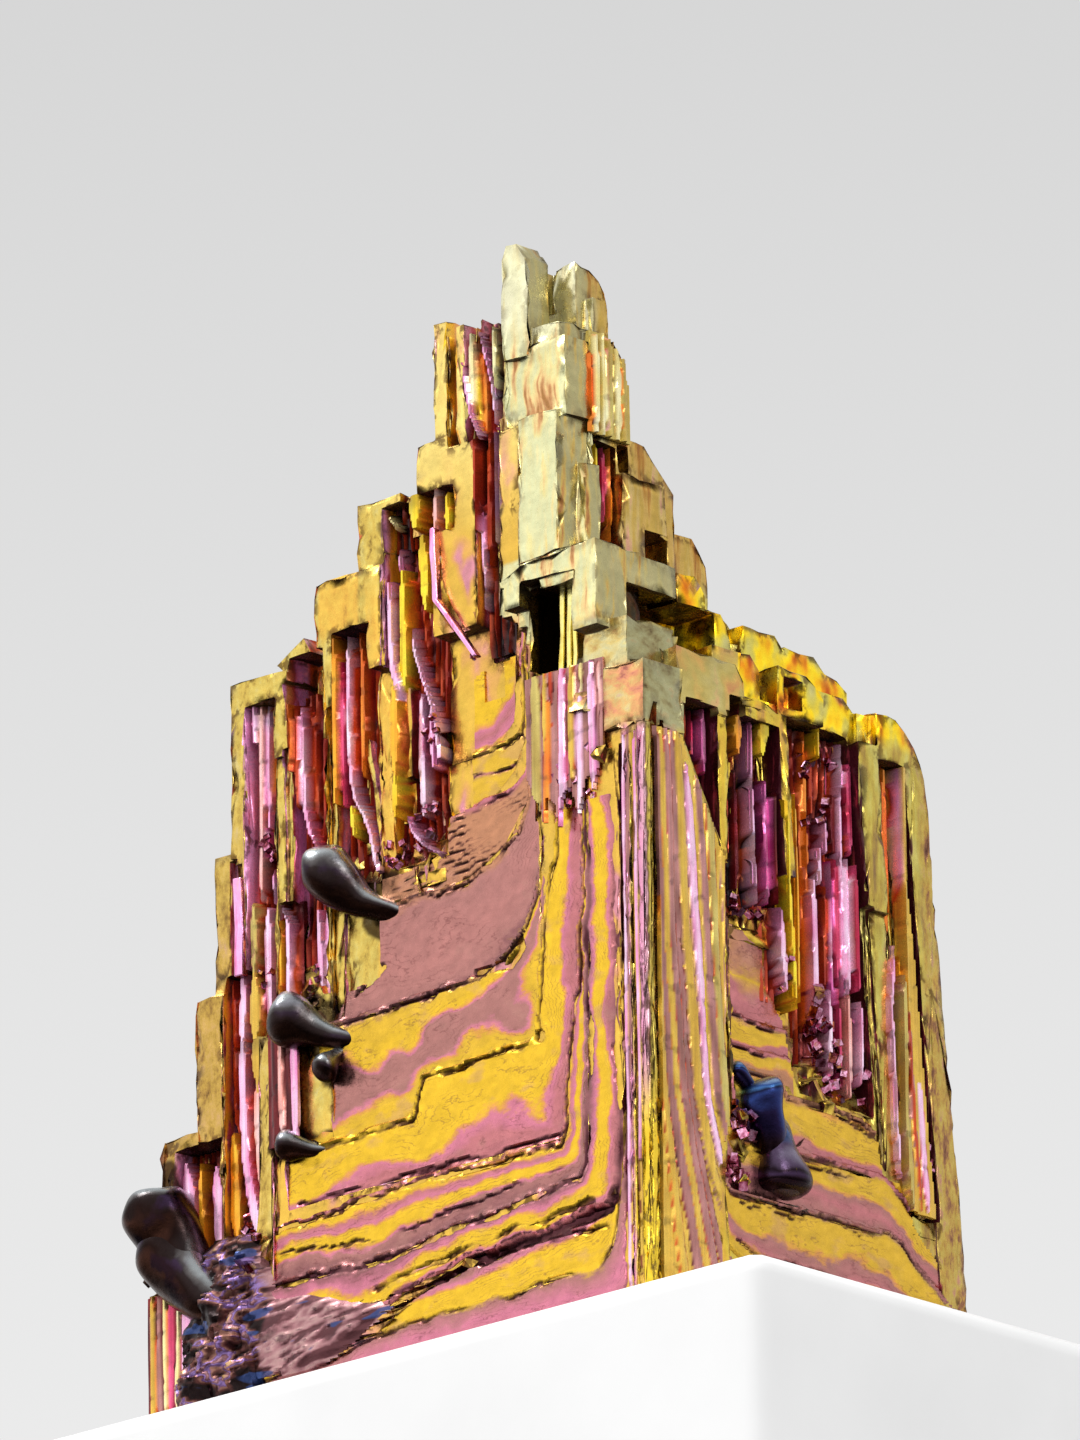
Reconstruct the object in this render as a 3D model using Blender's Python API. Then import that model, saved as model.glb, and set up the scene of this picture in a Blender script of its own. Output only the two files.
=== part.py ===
"""A bismuth hopper crystal: a tower of square growth terraces, made as one faceted solid.

Blender 4.5, metres, +Z up. The sizes below are millimetres. Every point is given by three
distances, measured from the crystal's near corner post:
    left  along the broad face, which looks towards -Y
    back  along the narrow face, which looks towards +X
    up    from the flat cut that the crystal stands on
"""

import math
import random

import bmesh
import bpy
from mathutils import Euler, Matrix, Vector

MM = 0.001

# Driving dimensions
WIDTH = 37.1  # broad face, at the foot
DEPTH = 22.6  # narrow face, at the top of its wall
WALL_TOP = 34.8  # top of the narrow face's wall
TOWER_TOP = 61.4
FLARE = 0.0039  # how much deeper the crystal gets for each millimetre below the wall's top
LEVEL = 0.21  # how far one growth terrace lies behind the next
CLEAR = -3.0  # where a cutter starts, in front of a face
SAWN = -2.0  # how far the blocks run past the flat cut before it is made
CORE = 7.0  # how deep the front columns reach into the mass behind them

# Growth terraces of the broad face as (left, up) points along the foot and side of each L
BROAD_TERRACES = (
    [(27.6, 6.4), (19.0, 6.1), (15.0, 6.9), (5.0, 7.8), (4.4, 8.6), (4.2, 24.0), (4.2, 36.0)],
    [(26.6, 10.5), (6.3, 10.3), (6.1, 14.0), (5.5, 17.6), (4.8, 18.2), (4.7, 36.4)],
    [(23.4, 13.5), (17.3, 13.6), (16.7, 15.9), (8.3, 16.1), (8.1, 20.0), (8.0, 38.0)],
    [(22.6, 20.2), (12.5, 20.6), (10.8, 21.5), (9.0, 23.0), (8.3, 25.0), (8.3, 39.0)],
    [(20.4, 26.2), (14.0, 26.4), (11.0, 27.6), (9.2, 30.0), (9.0, 39.5)],
    [(19.0, 30.2), (12.4, 30.4), (10.4, 31.8), (9.6, 33.4), (9.5, 40.0)],
    [(15.6, 33.2), (11.8, 33.4), (10.6, 34.6), (10.2, 40.2)],
)

# Growth terraces of the narrow face as (back, up) points, read the same way
NARROW_TERRACES = (
    [(20.6, 4.6), (17.3, 7.2), (5.4, 7.2), (5.2, 25.0)],
    [(19.0, 8.4), (16.9, 10.3), (6.2, 10.4), (5.9, 25.2)],
    [(17.6, 11.0), (15.7, 13.3), (11.2, 13.5), (10.8, 14.2), (6.5, 14.3), (6.2, 25.4)],
    [(15.4, 13.9), (13.2, 15.5), (6.8, 15.6), (6.5, 25.6)],
    [(13.2, 16.2), (12.4, 17.1), (7.1, 17.2), (6.8, 25.8)],
)


def spot(left, back, up):
    """A point in Blender's metres, with the origin under the middle of the crystal."""
    return Vector((WIDTH / 2 - left, back - DEPTH / 2, up)) * MM


def point_along(along, a, b, run):
    """The place of an outline's point (a, b) at a distance run in the third direction."""
    if along == "up":
        return spot(a, b, run)
    if along == "back":
        return spot(a, run, b)
    return spot(run, a, b)


def add_form(pieces, name, form):
    """Closes a bmesh into an object that only helps to build the crystal."""
    bmesh.ops.recalc_face_normals(form, faces=form.faces)
    mesh = bpy.data.meshes.new(name)
    form.to_mesh(mesh)
    form.free()
    thing = bpy.data.objects.new(name, mesh)
    thing.hide_render = True
    thing.display_type = "WIRE"
    pieces.objects.link(thing)
    return thing


def prism(pieces, name, outline, along, start, end):
    """Pulls an outline straight along one of the three directions."""
    form = bmesh.new()
    face = form.faces.new([form.verts.new(point_along(along, a, b, start)) for a, b in outline])
    pulled = bmesh.ops.extrude_face_region(form, geom=[face])["geom"]
    corners = [item for item in pulled if isinstance(item, bmesh.types.BMVert)]
    step = point_along(along, 0, 0, end) - point_along(along, 0, 0, start)
    bmesh.ops.translate(form, verts=corners, vec=step)
    return add_form(pieces, name, form)


def block(pieces, name, left, back, up):
    """A square block between two distances in each direction."""
    outline = [(left[0], back[0]), (left[1], back[0]), (left[1], back[1]), (left[0], back[1])]
    return prism(pieces, name, outline, "up", up[0], up[1])


def cut_block(pieces, name, left, back, up, corner):
    """A block whose upper back corner is cut off at forty-five degrees."""
    outline = [
        (back[0], up[0]),
        (back[0], up[1]),
        (back[1] - corner, up[1]),
        (back[1], up[1] - corner),
        (back[1], up[0]),
    ]
    return prism(pieces, name, outline, "left", left[0], left[1])


# The mass behind the faces


def stepped_mass(pieces):
    """A stepped pyramid that fills the crystal and makes its hidden back and left side."""
    floors = 8
    for floor in range(floors):
        left_end = 33.5 - 3.1 * floor
        back_end = DEPTH - 0.4 - 2.05 * floor
        top = 9.0 + 5.6 * floor
        block(pieces, "floor", (1.6 + 0.5 * floor, left_end), (1.4, back_end), (SAWN, top))
    block(pieces, "tower_heart", (9.0, 15.0), (3.4, 8.2), (38.0, 51.2))


def corner_stages(pieces):
    """The corner post, which steps back as it climbs."""
    block(pieces, "post_foot", (0.0, 5.0), (0.0, DEPTH), (SAWN, 32.0))
    block(pieces, "post_stage_1", (-0.35, 2.6), (-0.3, 3.0), (31.8, 35.4))
    block(pieces, "post_stage_2", (0.9, 4.6), (-0.1, 4.0), (35.0, 38.1))


# The broad face


def broad_columns(pieces):
    """The stairs of upright columns that climb from the left edge to the tower."""
    columns = (
        # left, front, up
        ((28.0, 37.1), 0.0, 7.7),
        ((28.4, 36.1), 0.1, 16.3),
        ((27.6, 33.3), 0.0, 23.6),
        ((27.4, 32.05), 0.2, 31.5),
        ((26.0, 30.55), 0.0, 41.0),
        ((23.6, 27.2), 0.6, 40.6),
        ((19.2, 24.25), 0.1, 45.4),
        ((17.8, 21.1), 0.3, 49.2),
        ((12.2, 18.2), 0.9, 49.0),
        ((10.0, 16.6), 0.2, 51.5),
        ((9.8, 15.3), 0.5, 57.3),
        ((8.6, 10.6), 0.1, 50.7),
        ((8.7, 10.1), 0.4, 53.5),
        ((4.0, 10.6), 0.15, 40.4),
        ((0.8, 5.2), 0.0, 35.7),
    )
    for (low, high), front, top in columns:
        reach = CORE + 0.19 * (TOWER_TOP - top)
        block(pieces, "column", (low, high), (front, reach), (SAWN, top))
    block(pieces, "broad_wall", (1.0, 28.6), (0.0, CORE), (SAWN, 33.0))


def broad_terraces(cuts):
    """Nested L-shaped terraces: each one lies a level behind the one around it."""
    for number, edge in enumerate(BROAD_TERRACES, start=1):
        far_left = edge[0][0]
        outline = edge + [(far_left, edge[-1][1])]
        prism(cuts, "terrace", outline, "back", CLEAR, number * LEVEL)


def stepped_channel(cuts, low, high, foot, top, depths):
    """An upright channel whose two sides step inwards as it gets deeper."""
    inset = (high - low) / (2 * len(depths) + 1)
    for number, depth in enumerate(depths):
        sides = (low + number * inset * 0.8, high - number * inset)
        ends = (foot + number * 1.3, top - number * 0.35)
        block(cuts, "channel", sides, (CLEAR, depth), ends)


def broad_channels(cuts):
    """The deep upright channels between the columns."""
    stepped_channel(cuts, 27.3, 29.4, 20.6, 39.5, (2.2, 3.2))
    stepped_channel(cuts, 26.0, 27.2, 22.4, 27.8, (1.4,))
    stepped_channel(cuts, 23.6, 26.2, 22.2, 41.6, (2.4, 3.6))
    stepped_channel(cuts, 20.3, 22.9, 28.0, 42.2, (2.6, 3.8))
    stepped_channel(cuts, 15.4, 19.1, 28.2, 46.4, (2.4, 3.4, 4.4))
    stepped_channel(cuts, 13.8, 19.2, 46.2, 48.6, (2.6, 3.6))
    stepped_channel(cuts, 10.35, 12.1, 38.4, 60.0, (1.9, 2.8))
    stepped_channel(cuts, 28.6, 31.2, 9.6, 24.5, (1.5, 2.2))
    stepped_channel(cuts, 31.3, 35.0, 8.4, 15.4, (2.2, 3.0))
    stepped_channel(cuts, 34.3, 35.1, -3.0, 6.9, (1.2,))
    stepped_channel(cuts, 35.9, 36.5, -3.0, 6.0, (0.8,))
    block(cuts, "narrow_groove", (11.6, 12.5), (CLEAR, 1.0), (36.4, 39.2))
    block(cuts, "left_split", (30.2, 30.8), (CLEAR, 0.7), (16.6, 31.0))
    block(cuts, "pit", (29.7, 30.4), (CLEAR, 1.6), (29.9, 30.6))
    prism(cuts, "vein", [(15.6, 46.6), (14.4, 42.0), (11.4, 38.0), (12.2, 38.2), (15.1, 42.0), (16.0, 46.6)],
          "back", CLEAR, 0.7)


def channel_ribs(pieces):
    """Slim ribs that stand inside the channels, some of them leaning."""
    ribs = (
        # foot left, top left, width, up, front, back
        (27.6, 28.2, 0.55, (23.0, 39.0), 1.5),
        (24.7, 25.0, 0.55, (22.4, 41.2), 1.7),
        (21.2, 21.7, 0.6, (29.6, 42.0), 1.5),
        (19.6, 21.0, 0.5, (28.2, 36.0), 1.1),
        (17.7, 17.7, 1.0, (33.0, 38.2), 0.9),
        (17.7, 17.7, 1.0, (30.6, 32.8), 1.2),
        (16.0, 17.4, 0.5, (30.0, 46.2), 1.8),
        (16.4, 16.5, 1.2, (46.6, 49.1), 1.0),
        (14.9, 14.9, 0.7, (46.0, 49.1), 1.4),
        (10.9, 11.3, 0.5, (42.0, 56.4), 1.2),
        (33.3, 33.6, 0.6, (8.6, 15.2), 1.2),
        (31.9, 32.0, 0.6, (8.6, 15.0), 1.5),
        (29.6, 29.9, 0.5, (10.0, 24.0), 0.7),
    )
    for foot, top, width, (low, high), front in ribs:
        outline = [(foot, low), (foot + width, low), (top + width, high), (top, high)]
        prism(pieces, "rib", outline, "back", front, CORE - 1.5)


def tower_fins(pieces, cuts):
    """The comb of thin fins on the tower's left shoulder."""
    fins = ((12.8, 13.5, 0.2, 57.6), (11.5, 12.3, 0.9, 57.9), (10.4, 11.1, 1.5, 57.0), (14.2, 15.2, 0.3, 58.2))
    for low, high, front, top in fins:
        block(pieces, "fin", (low, high), (front, 5.5), (48.0, top))
    for low, high, depth in ((13.5, 14.1, 1.6), (12.3, 12.8, 2.4)):
        block(cuts, "between_fins", (low, high), (CLEAR, depth), (50.9, 60.0))


def broken_spike(pieces, cuts):
    """A snapped point over a dark hollow, between two columns."""
    prism(pieces, "spike", [(27.2, 41.4), (25.0, 42.6), (24.2, 41.0), (25.6, 40.0)], "back", 0.2, 4.2)
    prism(cuts, "hollow", [(26.5, 40.2), (24.9, 41.0), (24.3, 38.6), (26.3, 38.0)], "back", CLEAR, 3.0)


def foot_grooves(cuts):
    """The deep groove and the last terraces above the foot of the broad face."""
    prism(cuts, "deep_groove", [(2.4, 6.3), (5.0, 6.1), (14.0, 5.2), (18.0, 4.2), (21.0, 2.5),
                                (20.6, 2.0), (17.8, 3.3), (13.8, 4.3), (5.0, 4.9), (2.4, 5.1)],
          "back", CLEAR, 1.1)
    prism(cuts, "foot_step", [(40.0, -3.0), (40.0, 1.3), (28.0, 1.6), (20.0, 2.0), (2.8, 2.3), (2.6, -3.0)],
          "back", CLEAR, 0.3)
    block(cuts, "side_groove", (1.3, 1.75), (CLEAR, 0.7), (6.4, 31.0))
    block(cuts, "side_groove_foot", (1.6, 2.5), (CLEAR, 0.9), (5.2, 10.2))


# The tower


def tower(pieces, cuts):
    """The pale blocks of the tower, each standing on a broader one."""
    block(pieces, "tower_low", (5.7, 8.7), (-0.2, 5.0), (36.0, 51.0))
    cut_block(pieces, "tower_middle", (5.4, 9.9), (0.3, 4.6), (50.6, 55.2), 1.0)
    prism(pieces, "tower_high", [(8.1, 54.6), (10.1, 54.6), (10.1, 60.5), (9.7, TOWER_TOP), (8.8, TOWER_TOP - 0.2),
                                 (8.1, 60.3)], "back", 0.2, 2.1)
    block(pieces, "notched_block", (6.1, 8.4), (0.6, 3.2), (54.9, 56.3))
    cut_block(pieces, "second_spire", (6.9, 9.6), (2.8, 5.4), (50.0, 60.3), 1.2)
    block(pieces, "second_spire_rib", (6.4, 7.6), (3.6, 4.9), (52.0, 58.4))
    block(cuts, "spire_notch", (8.6, 9.1), (2.0, 3.4), (57.8, 62.0))


def tower_back_stairs(pieces, cuts):
    """Blocks that step down from the tower along the top of the narrow face."""
    cut_block(pieces, "rib_column", (5.6, 10.0), (2.4, 5.2), (40.0, 56.0), 0.9)
    for start in (2.9, 3.9):
        block(cuts, "rib_column_groove", (CLEAR, 6.1), (start, start + 0.45), (50.4, 57.0))
    cut_block(pieces, "stair_1", (5.5, 12.0), (4.3, 9.0), (38.0, 50.4), 2.3)
    cut_block(pieces, "stair_2", (5.7, 11.5), (8.6, 11.8), (36.0, 46.0), 1.3)
    cut_block(pieces, "stair_3", (5.9, 11.0), (11.4, 14.0), (34.0, 42.4), 1.0)
    block(cuts, "stair_channel", (CLEAR, 8.4), (2.7, 4.3), (43.6, 49.6))
    block(cuts, "stair_box", (CLEAR, 7.4), (4.6, 5.3), (48.3, 49.9))
    block(cuts, "stair_hole", (CLEAR, 8.2), (6.2, 8.3), (43.4, 45.3))


def bracket(pieces, cuts):
    """The shelf that wraps round the corner below the tower, open underneath."""
    prism(pieces, "shelf_front", [(9.2, 41.2), (2.2, 41.0), (2.2, 42.5), (7.9, 42.2), (9.2, 41.6)], "back", -1.1, 2.5)
    block(pieces, "shelf_left_foot", (7.8, 9.0), (-1.1, 1.0), (39.9, 41.5))
    block(pieces, "shelf_right_foot", (2.2, 4.0), (-1.1, 1.4), (37.6, 42.0))
    block(pieces, "shelf_side", (2.2, 6.5), (-1.0, 5.4), (40.5, 42.3))
    block(pieces, "shelf_bearing", (3.2, 6.5), (0.5, 3.6), (34.0, 41.0))
    block(cuts, "under_shelf", (4.1, 7.8), (CLEAR, 2.4), (36.4, 40.95))
    block(cuts, "under_shelf_side", (-1.0, 5.4), (3.7, 8.5), (37.8, 40.4))
    for low, high in ((6.2, 6.7), (4.8, 5.6)):
        block(pieces, "shelf_fin", (low, high), (0.9, 3.6), (34.0, 40.9))


# The narrow face


def narrow_wall(pieces):
    """The wall of the narrow face, and the blocks that stand along its top."""
    block(pieces, "narrow_wall", (0.0, 6.0), (1.0, DEPTH - 1.0), (SAWN, WALL_TOP))
    cut_block(pieces, "outer_frame", (0.0, 5.0), (18.8, DEPTH), (SAWN, WALL_TOP + 1.9), 2.1)
    cut_block(pieces, "plate_1", (-0.1, 5.0), (2.7, 8.2), (33.6, 36.8), 0.8)
    cut_block(pieces, "plate_2", (0.2, 5.5), (6.2, 11.0), (31.0, 35.4), 0.6)
    tops = (
        # back, up, cut corner
        ((6.2, 8.5), 39.6, 0.9),
        ((8.4, 10.4), 38.0, 0.7),
        ((11.4, 15.1), 37.8, 1.2),
        ((14.7, 18.0), 37.3, 0.9),
        ((17.7, 19.7), 36.5, 0.7),
    )
    for number, (back, top, corner) in enumerate(tops):
        cut_block(pieces, "wall_top", (0.5 + 0.3 * (number % 2), 6.2), back, (33.0, top), corner)
        cut_block(pieces, "wall_top_behind", (2.4, 8.4), (back[0] - 0.6, back[1] - 0.5), (33.0, top + 2.6), corner)


def narrow_limb(pieces):
    """The sloping plate beside the corner post."""
    prism(pieces, "limb", [(0.6, SAWN), (0.6, 34.6), (1.6, 34.4), (6.0, 25.6), (6.0, 10.6), (5.2, 8.0), (5.2, SAWN)],
          "left", -0.3, 2.0)


def narrow_terraces(cuts):
    """Nested terraces of the narrow face, whose feet bend down towards the outer frame."""
    for number, edge in enumerate(NARROW_TERRACES, start=1):
        far_back = edge[0][0]
        outline = edge + [(far_back, edge[-1][1])]
        prism(cuts, "terrace", outline, "left", CLEAR, number * LEVEL)


def side_channel(cuts, low, high, foot, top, depths):
    """An upright stepped channel in the narrow face."""
    inset = (high - low) / (2 * len(depths) + 1)
    for number, depth in enumerate(depths):
        sides = (low + number * inset, high - number * inset * 0.8)
        ends = (foot + number * 1.2, top - number * 0.3)
        block(cuts, "side_channel", (CLEAR, depth), sides, ends)


def narrow_channels(cuts, ribs):
    """The channels and recesses of the narrow face, with the ribs inside them."""
    prism(cuts, "corner_recess", [(3.4, 34.0), (5.9, 34.0), (5.9, 26.6), (3.4, 31.6)], "left", CLEAR, 2.8)
    side_channel(cuts, 6.7, 10.9, 23.2, 34.0, (2.6, 3.8))
    side_channel(cuts, 10.2, 11.4, 18.6, 24.0, (2.2,))
    side_channel(cuts, 11.7, 17.2, 14.0, 35.0, (2.4, 3.6, 5.0))
    side_channel(cuts, 18.9, 20.9, 8.8, 34.0, (1.8, 2.8))
    block(cuts, "second_arch", (CLEAR, 1.2), (7.0, 8.2), (33.6, 34.9))
    block(cuts, "top_inset", (CLEAR, 1.6), (12.0, 13.4), (35.6, 37.2))
    runs = (
        # foot back, top back, width, up, front
        (8.2, 8.4, 0.5, (23.4, 34.0), 1.5),
        (9.4, 9.4, 0.9, (21.8, 24.0), 0.9),
        (10.5, 10.5, 0.5, (19.0, 34.6), 1.4),
        (12.6, 12.8, 0.6, (17.6, 26.0), 2.2),
        (13.2, 13.5, 0.7, (25.4, 28.0), 2.4),
        (13.9, 14.1, 0.8, (27.6, 34.6), 2.6),
        (15.6, 16.0, 0.5, (14.6, 34.6), 1.7),
        (16.4, 16.6, 0.4, (15.4, 34.6), 1.3),
        (19.6, 19.5, 0.5, (10.4, 33.0), 0.8),
    )
    for foot, top, width, (low, high), front in runs:
        outline = [(foot, low), (foot + width, low), (top + width, high), (top, high)]
        prism(ribs, "side_rib", outline, "left", front, 6.5)


def corner_ribs(pieces, cuts):
    """Thin ribs that run down the corner post and spread like a skirt at its foot."""
    gap = 0.26
    for number in range(4):
        top = 0.55 + 0.5 * number
        knee = top + 0.18 * number
        foot = 1.2 + 1.05 * number
        outline = [
            (top, 33.0 - 0.9 * number),
            (top + gap, 33.0 - 0.9 * number),
            (knee + gap, 14.0),
            (knee + 0.5 + gap, 9.0),
            (foot + gap, 4.4),
            (foot + gap, SAWN),
            (foot, SAWN),
            (foot, 4.2),
            (knee + 0.4, 9.0),
            (knee, 14.0),
        ]
        prism(cuts, "rib_gap", outline, "left", CLEAR, 0.42)
    block(pieces, "edge_ridge", (-0.32, 0.3), (-0.28, 0.42), (SAWN, 32.6))
    block(pieces, "edge_ridge_left", (0.72, 1.12), (-0.2, 0.6), (SAWN, 31.0))


# Melt and small crystals


def drip(pieces, name, head, tail, radius, sag):
    """A drop of melt that clung to a face and set: a round head that thins to a tail."""
    sides = 9
    swell = ((0.02, 0.48), (0.1, 0.86), (0.23, 1.0), (0.38, 0.88), (0.54, 0.6), (0.74, 0.42), (1.0, 0.46))
    form = bmesh.new()
    start = spot(*head)
    run = spot(*tail) - start
    aim = run.to_track_quat("Z", "Y")
    loops = []
    for share, width in swell:
        middle = start + run * share - Vector((0, 0, sag * math.sin(math.pi * share) * MM))
        spokes = [Vector((math.cos(turn), math.sin(turn), 0)) * width * radius * MM
                  for turn in (2 * math.pi * side / sides for side in range(sides))]
        loops.append([form.verts.new(middle + aim @ spoke) for spoke in spokes])
    for lower, upper in zip(loops, loops[1:]):
        for side in range(sides):
            after = (side + 1) % sides
            form.faces.new((lower[side], lower[after], upper[after], upper[side]))
    for loop, share in ((loops[0], -0.03), (loops[-1], 1.05)):
        tip = form.verts.new(start + run * share)
        for side in range(sides):
            form.faces.new((loop[side], loop[(side + 1) % sides], tip))
    add_form(pieces, name, form)


def lump(pieces, chance, middle, radii, bumps):
    """A crumpled knot of skin: a ball of triangles, squashed and pushed about at random."""
    form = bmesh.new()
    bmesh.ops.create_icosphere(form, subdivisions=2, radius=1)
    for vertex in form.verts:
        push = 1 + chance.uniform(-bumps, bumps)
        aim = vertex.co * push
        vertex.co = spot(*(m + r * a for m, r, a in zip(middle, radii, aim)))
    add_form(pieces, "lump", form)


def drips(pieces):
    """The drops of melt on both faces."""
    drip(pieces, "drip_upper", (23.6, -1.1, 29.5), (18.6, 1.6, 25.4), 1.5, 0.7)
    drip(pieces, "drip_middle", (26.5, -0.9, 21.6), (22.3, 1.0, 19.2), 1.4, 0.5)
    drip(pieces, "drip_middle_bulb", (23.6, -0.5, 17.2), (22.9, 1.2, 19.2), 0.85, 0.0)
    drip(pieces, "drip_small", (26.9, -0.4, 14.1), (23.9, 0.9, 13.4), 0.9, 0.1)
    drip(pieces, "drip_left", (37.2, -1.0, 12.6), (33.0, 1.2, 6.4), 1.9, -0.7)
    drip(pieces, "drip_left_lobe", (36.2, -0.9, 9.4), (34.0, 1.2, 8.0), 1.5, 0.0)
    drip(pieces, "drip_side_upper", (-0.1, 7.9, 13.4), (0.9, 10.6, 10.4), 1.15, 0.0)
    drip(pieces, "drip_side_lower", (-0.6, 9.4, 7.6), (0.9, 9.7, 10.8), 1.6, 0.0)


def crumb(pieces, chance, place, size):
    """One small square crystal that grew askew."""
    half = chance.uniform(*size) / 2 * MM
    turn = Euler([chance.uniform(-0.5, 0.5) for _ in range(3)]).to_matrix().to_4x4()
    form = bmesh.new()
    bmesh.ops.create_cube(form, size=2, matrix=Matrix.Translation(place) @ turn @ Matrix.Scale(half, 4))
    add_form(pieces, "crumb", form)


def crumb_field(pieces, chance, count, left, back, up, size):
    """Crumbs scattered within three ranges."""
    for _ in range(count):
        place = spot(chance.uniform(*left), chance.uniform(*back), chance.uniform(*up))
        crumb(pieces, chance, place, size)


def heap(pieces, chance, face, across, up, depth, count):
    """A slope of crumbs that fills the foot of a channel: deeper in as it climbs."""
    outline = [(depth[0], up[0] - 0.8), (depth[0], up[0]), (depth[1], up[1]), (depth[1] + 1.2, up[1]),
               (depth[1] + 1.2, up[0] - 0.8)]
    if face == "broad":
        prism(pieces, "heap", outline, "left", *across)
    else:
        prism(pieces, "heap", outline, "back", *across)
    for _ in range(count):
        climb = chance.random()
        inward = depth[0] + (depth[1] - depth[0]) * climb
        rise = up[0] + (up[1] - up[0]) * climb
        side = chance.uniform(across[0] + 0.3, across[1] - 0.3)
        place = spot(side, inward, rise) if face == "broad" else spot(inward, side, rise)
        crumb(pieces, chance, place, (0.6, 1.3))


def crumbs(pieces):
    """Crumbs at the feet of the channels, on the wall's top and in the crumpled corner."""
    chance = random.Random(7)
    heap(pieces, chance, "broad", (15.3, 19.0), (27.4, 31.0), (0.9, 3.4), 9)
    heap(pieces, chance, "broad", (20.4, 22.8), (27.4, 30.4), (0.8, 2.8), 4)
    heap(pieces, chance, "broad", (23.7, 26.1), (21.6, 25.6), (0.6, 2.6), 6)
    heap(pieces, chance, "broad", (27.4, 29.3), (20.0, 23.4), (0.2, 2.0), 3)
    heap(pieces, chance, "narrow", (12.0, 16.9), (13.4, 20.4), (0.5, 4.2), 16)
    heap(pieces, chance, "narrow", (18.95, 20.85), (7.8, 10.6), (0.2, 2.0), 5)
    heap(pieces, chance, "narrow", (6.8, 10.8), (22.4, 25.0), (0.9, 3.2), 4)
    crumb_field(pieces, chance, 7, (28.4, 33.2), (-0.1, 0.6), (5.2, 9.4), (0.7, 1.6))
    crumb_field(pieces, chance, 6, (29.4, 34.2), (-0.1, 0.5), (0.9, 5.0), (0.7, 1.5))
    crumb_field(pieces, chance, 4, (-0.1, 0.4), (6.0, 7.2), (7.8, 11.8), (0.6, 1.1))
    crumb_field(pieces, chance, 7, (3.4, 6.0), (8.4, 13.0), (37.6, 40.0), (0.8, 1.7))
    crumb_field(pieces, chance, 4, (2.4, 4.6), (-0.1, 0.4), (30.0, 35.0), (0.6, 1.3))


def crumpled_skin(pieces):
    """Skin that wrinkled as the melt drained off the lower left corner of the broad face."""
    chance = random.Random(11)
    knots = (
        # middle, radii
        ((31.4, 0.5, 7.6), (2.4, 1.0, 2.3)),
        ((31.8, 0.6, 2.6), (2.4, 0.9, 2.2)),
        ((27.2, 0.6, 4.2), (2.6, 0.8, 1.2)),
        ((24.6, 0.6, 2.6), (3.4, 0.8, 1.3)),
    )
    for middle, radii in knots:
        lump(pieces, chance, middle, radii, 0.16)
    for number in range(6):
        foot = 1.2 + 0.66 * number
        reach = 27.6 - 1.4 * number
        outline = [(reach, foot), (reach - 6.5, foot + 0.3), (reach - 7.8, foot + 0.8), (reach - 2.0, foot + 0.7)]
        prism(pieces, "skin", outline, "back", -0.3 + 0.07 * number, 1.0)


# The hidden back


def back_channels(cuts):
    """Upright channels in the back and the left side, as on the two front faces."""
    for number in range(5):
        low = 5.0 + 5.3 * number
        foot = 3.0 + 2.0 * (number % 2)
        for step, depth in enumerate((1.6, 3.1)):
            back = (DEPTH - 0.4 - depth, DEPTH + 3.0)
            block(cuts, "back_channel", (low + 0.6 * step, low + 3.4 - 0.5 * step), back, (foot + 2 * step, 40.0))
    for number in range(3):
        low = 4.6 + 4.7 * number
        for step, depth in enumerate((1.4, 2.8)):
            left = (33.5 - depth, 40.0)
            block(cuts, "left_channel", left, (low + 0.5 * step, low + 3.0 - 0.5 * step), (3.6 + 1.8 * step, 40.0))


def terrace_pits(cuts):
    """Square stepped hoppers sunk into the flat tops of the stepped mass."""
    for floor in range(5):
        top = 9.0 + 5.6 * floor
        back_end = DEPTH - 0.4 - 2.05 * floor
        left_end = 33.5 - 3.1 * floor
        for step in range(2):
            rim = 0.35 + 0.4 * step
            block(cuts, "hopper", (left_end - 3.1 + rim, left_end - rim), (13.6 - floor + step, back_end - 2.6 - step),
                  (top - 0.7 * (step + 1), top + 6.0))


def sawn_foot(cuts):
    """The flat cut that the crystal stands on."""
    block(cuts, "saw", (-6.0, 46.0), (-6.0, 32.0), (SAWN - 3.0, 0.0))


# Joining


def collection(name):
    made = bpy.data.collections.new(name)
    bpy.context.scene.collection.children.link(made)
    return made


def in_order(mesh):
    """The same mesh with its points and faces listed in a fixed order, so each run agrees."""
    ranked = sorted(range(len(mesh.vertices)), key=lambda index: mesh.vertices[index].co[:])
    place = {index: rank for rank, index in enumerate(ranked)}
    faces = []
    for face in mesh.polygons:
        loop = [place[index] for index in face.vertices]
        first = loop.index(min(loop))
        faces.append(loop[first:] + loop[:first])
    fresh = bpy.data.meshes.new("hopper_crystal")
    fresh.from_pydata([mesh.vertices[index].co[:] for index in ranked], [], sorted(faces))
    return fresh


def combined(mesh, pieces, operation):
    """The mesh after one exact Boolean with every object of a collection."""
    body = bpy.data.objects.new("body", mesh)
    bpy.context.scene.collection.objects.link(body)
    step = body.modifiers.new("step", "BOOLEAN")
    step.operand_type = "COLLECTION"
    step.collection = pieces
    step.operation = operation
    step.solver = "EXACT"
    bpy.context.view_layer.update()
    result = bpy.data.meshes.new_from_object(body.evaluated_get(bpy.context.evaluated_depsgraph_get()))
    bpy.data.objects.remove(body)
    return in_order(result)


def triangulated(mesh):
    form = bmesh.new()
    form.from_mesh(mesh)
    bmesh.ops.triangulate(form, faces=form.faces)
    form.to_mesh(mesh)
    form.free()


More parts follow.
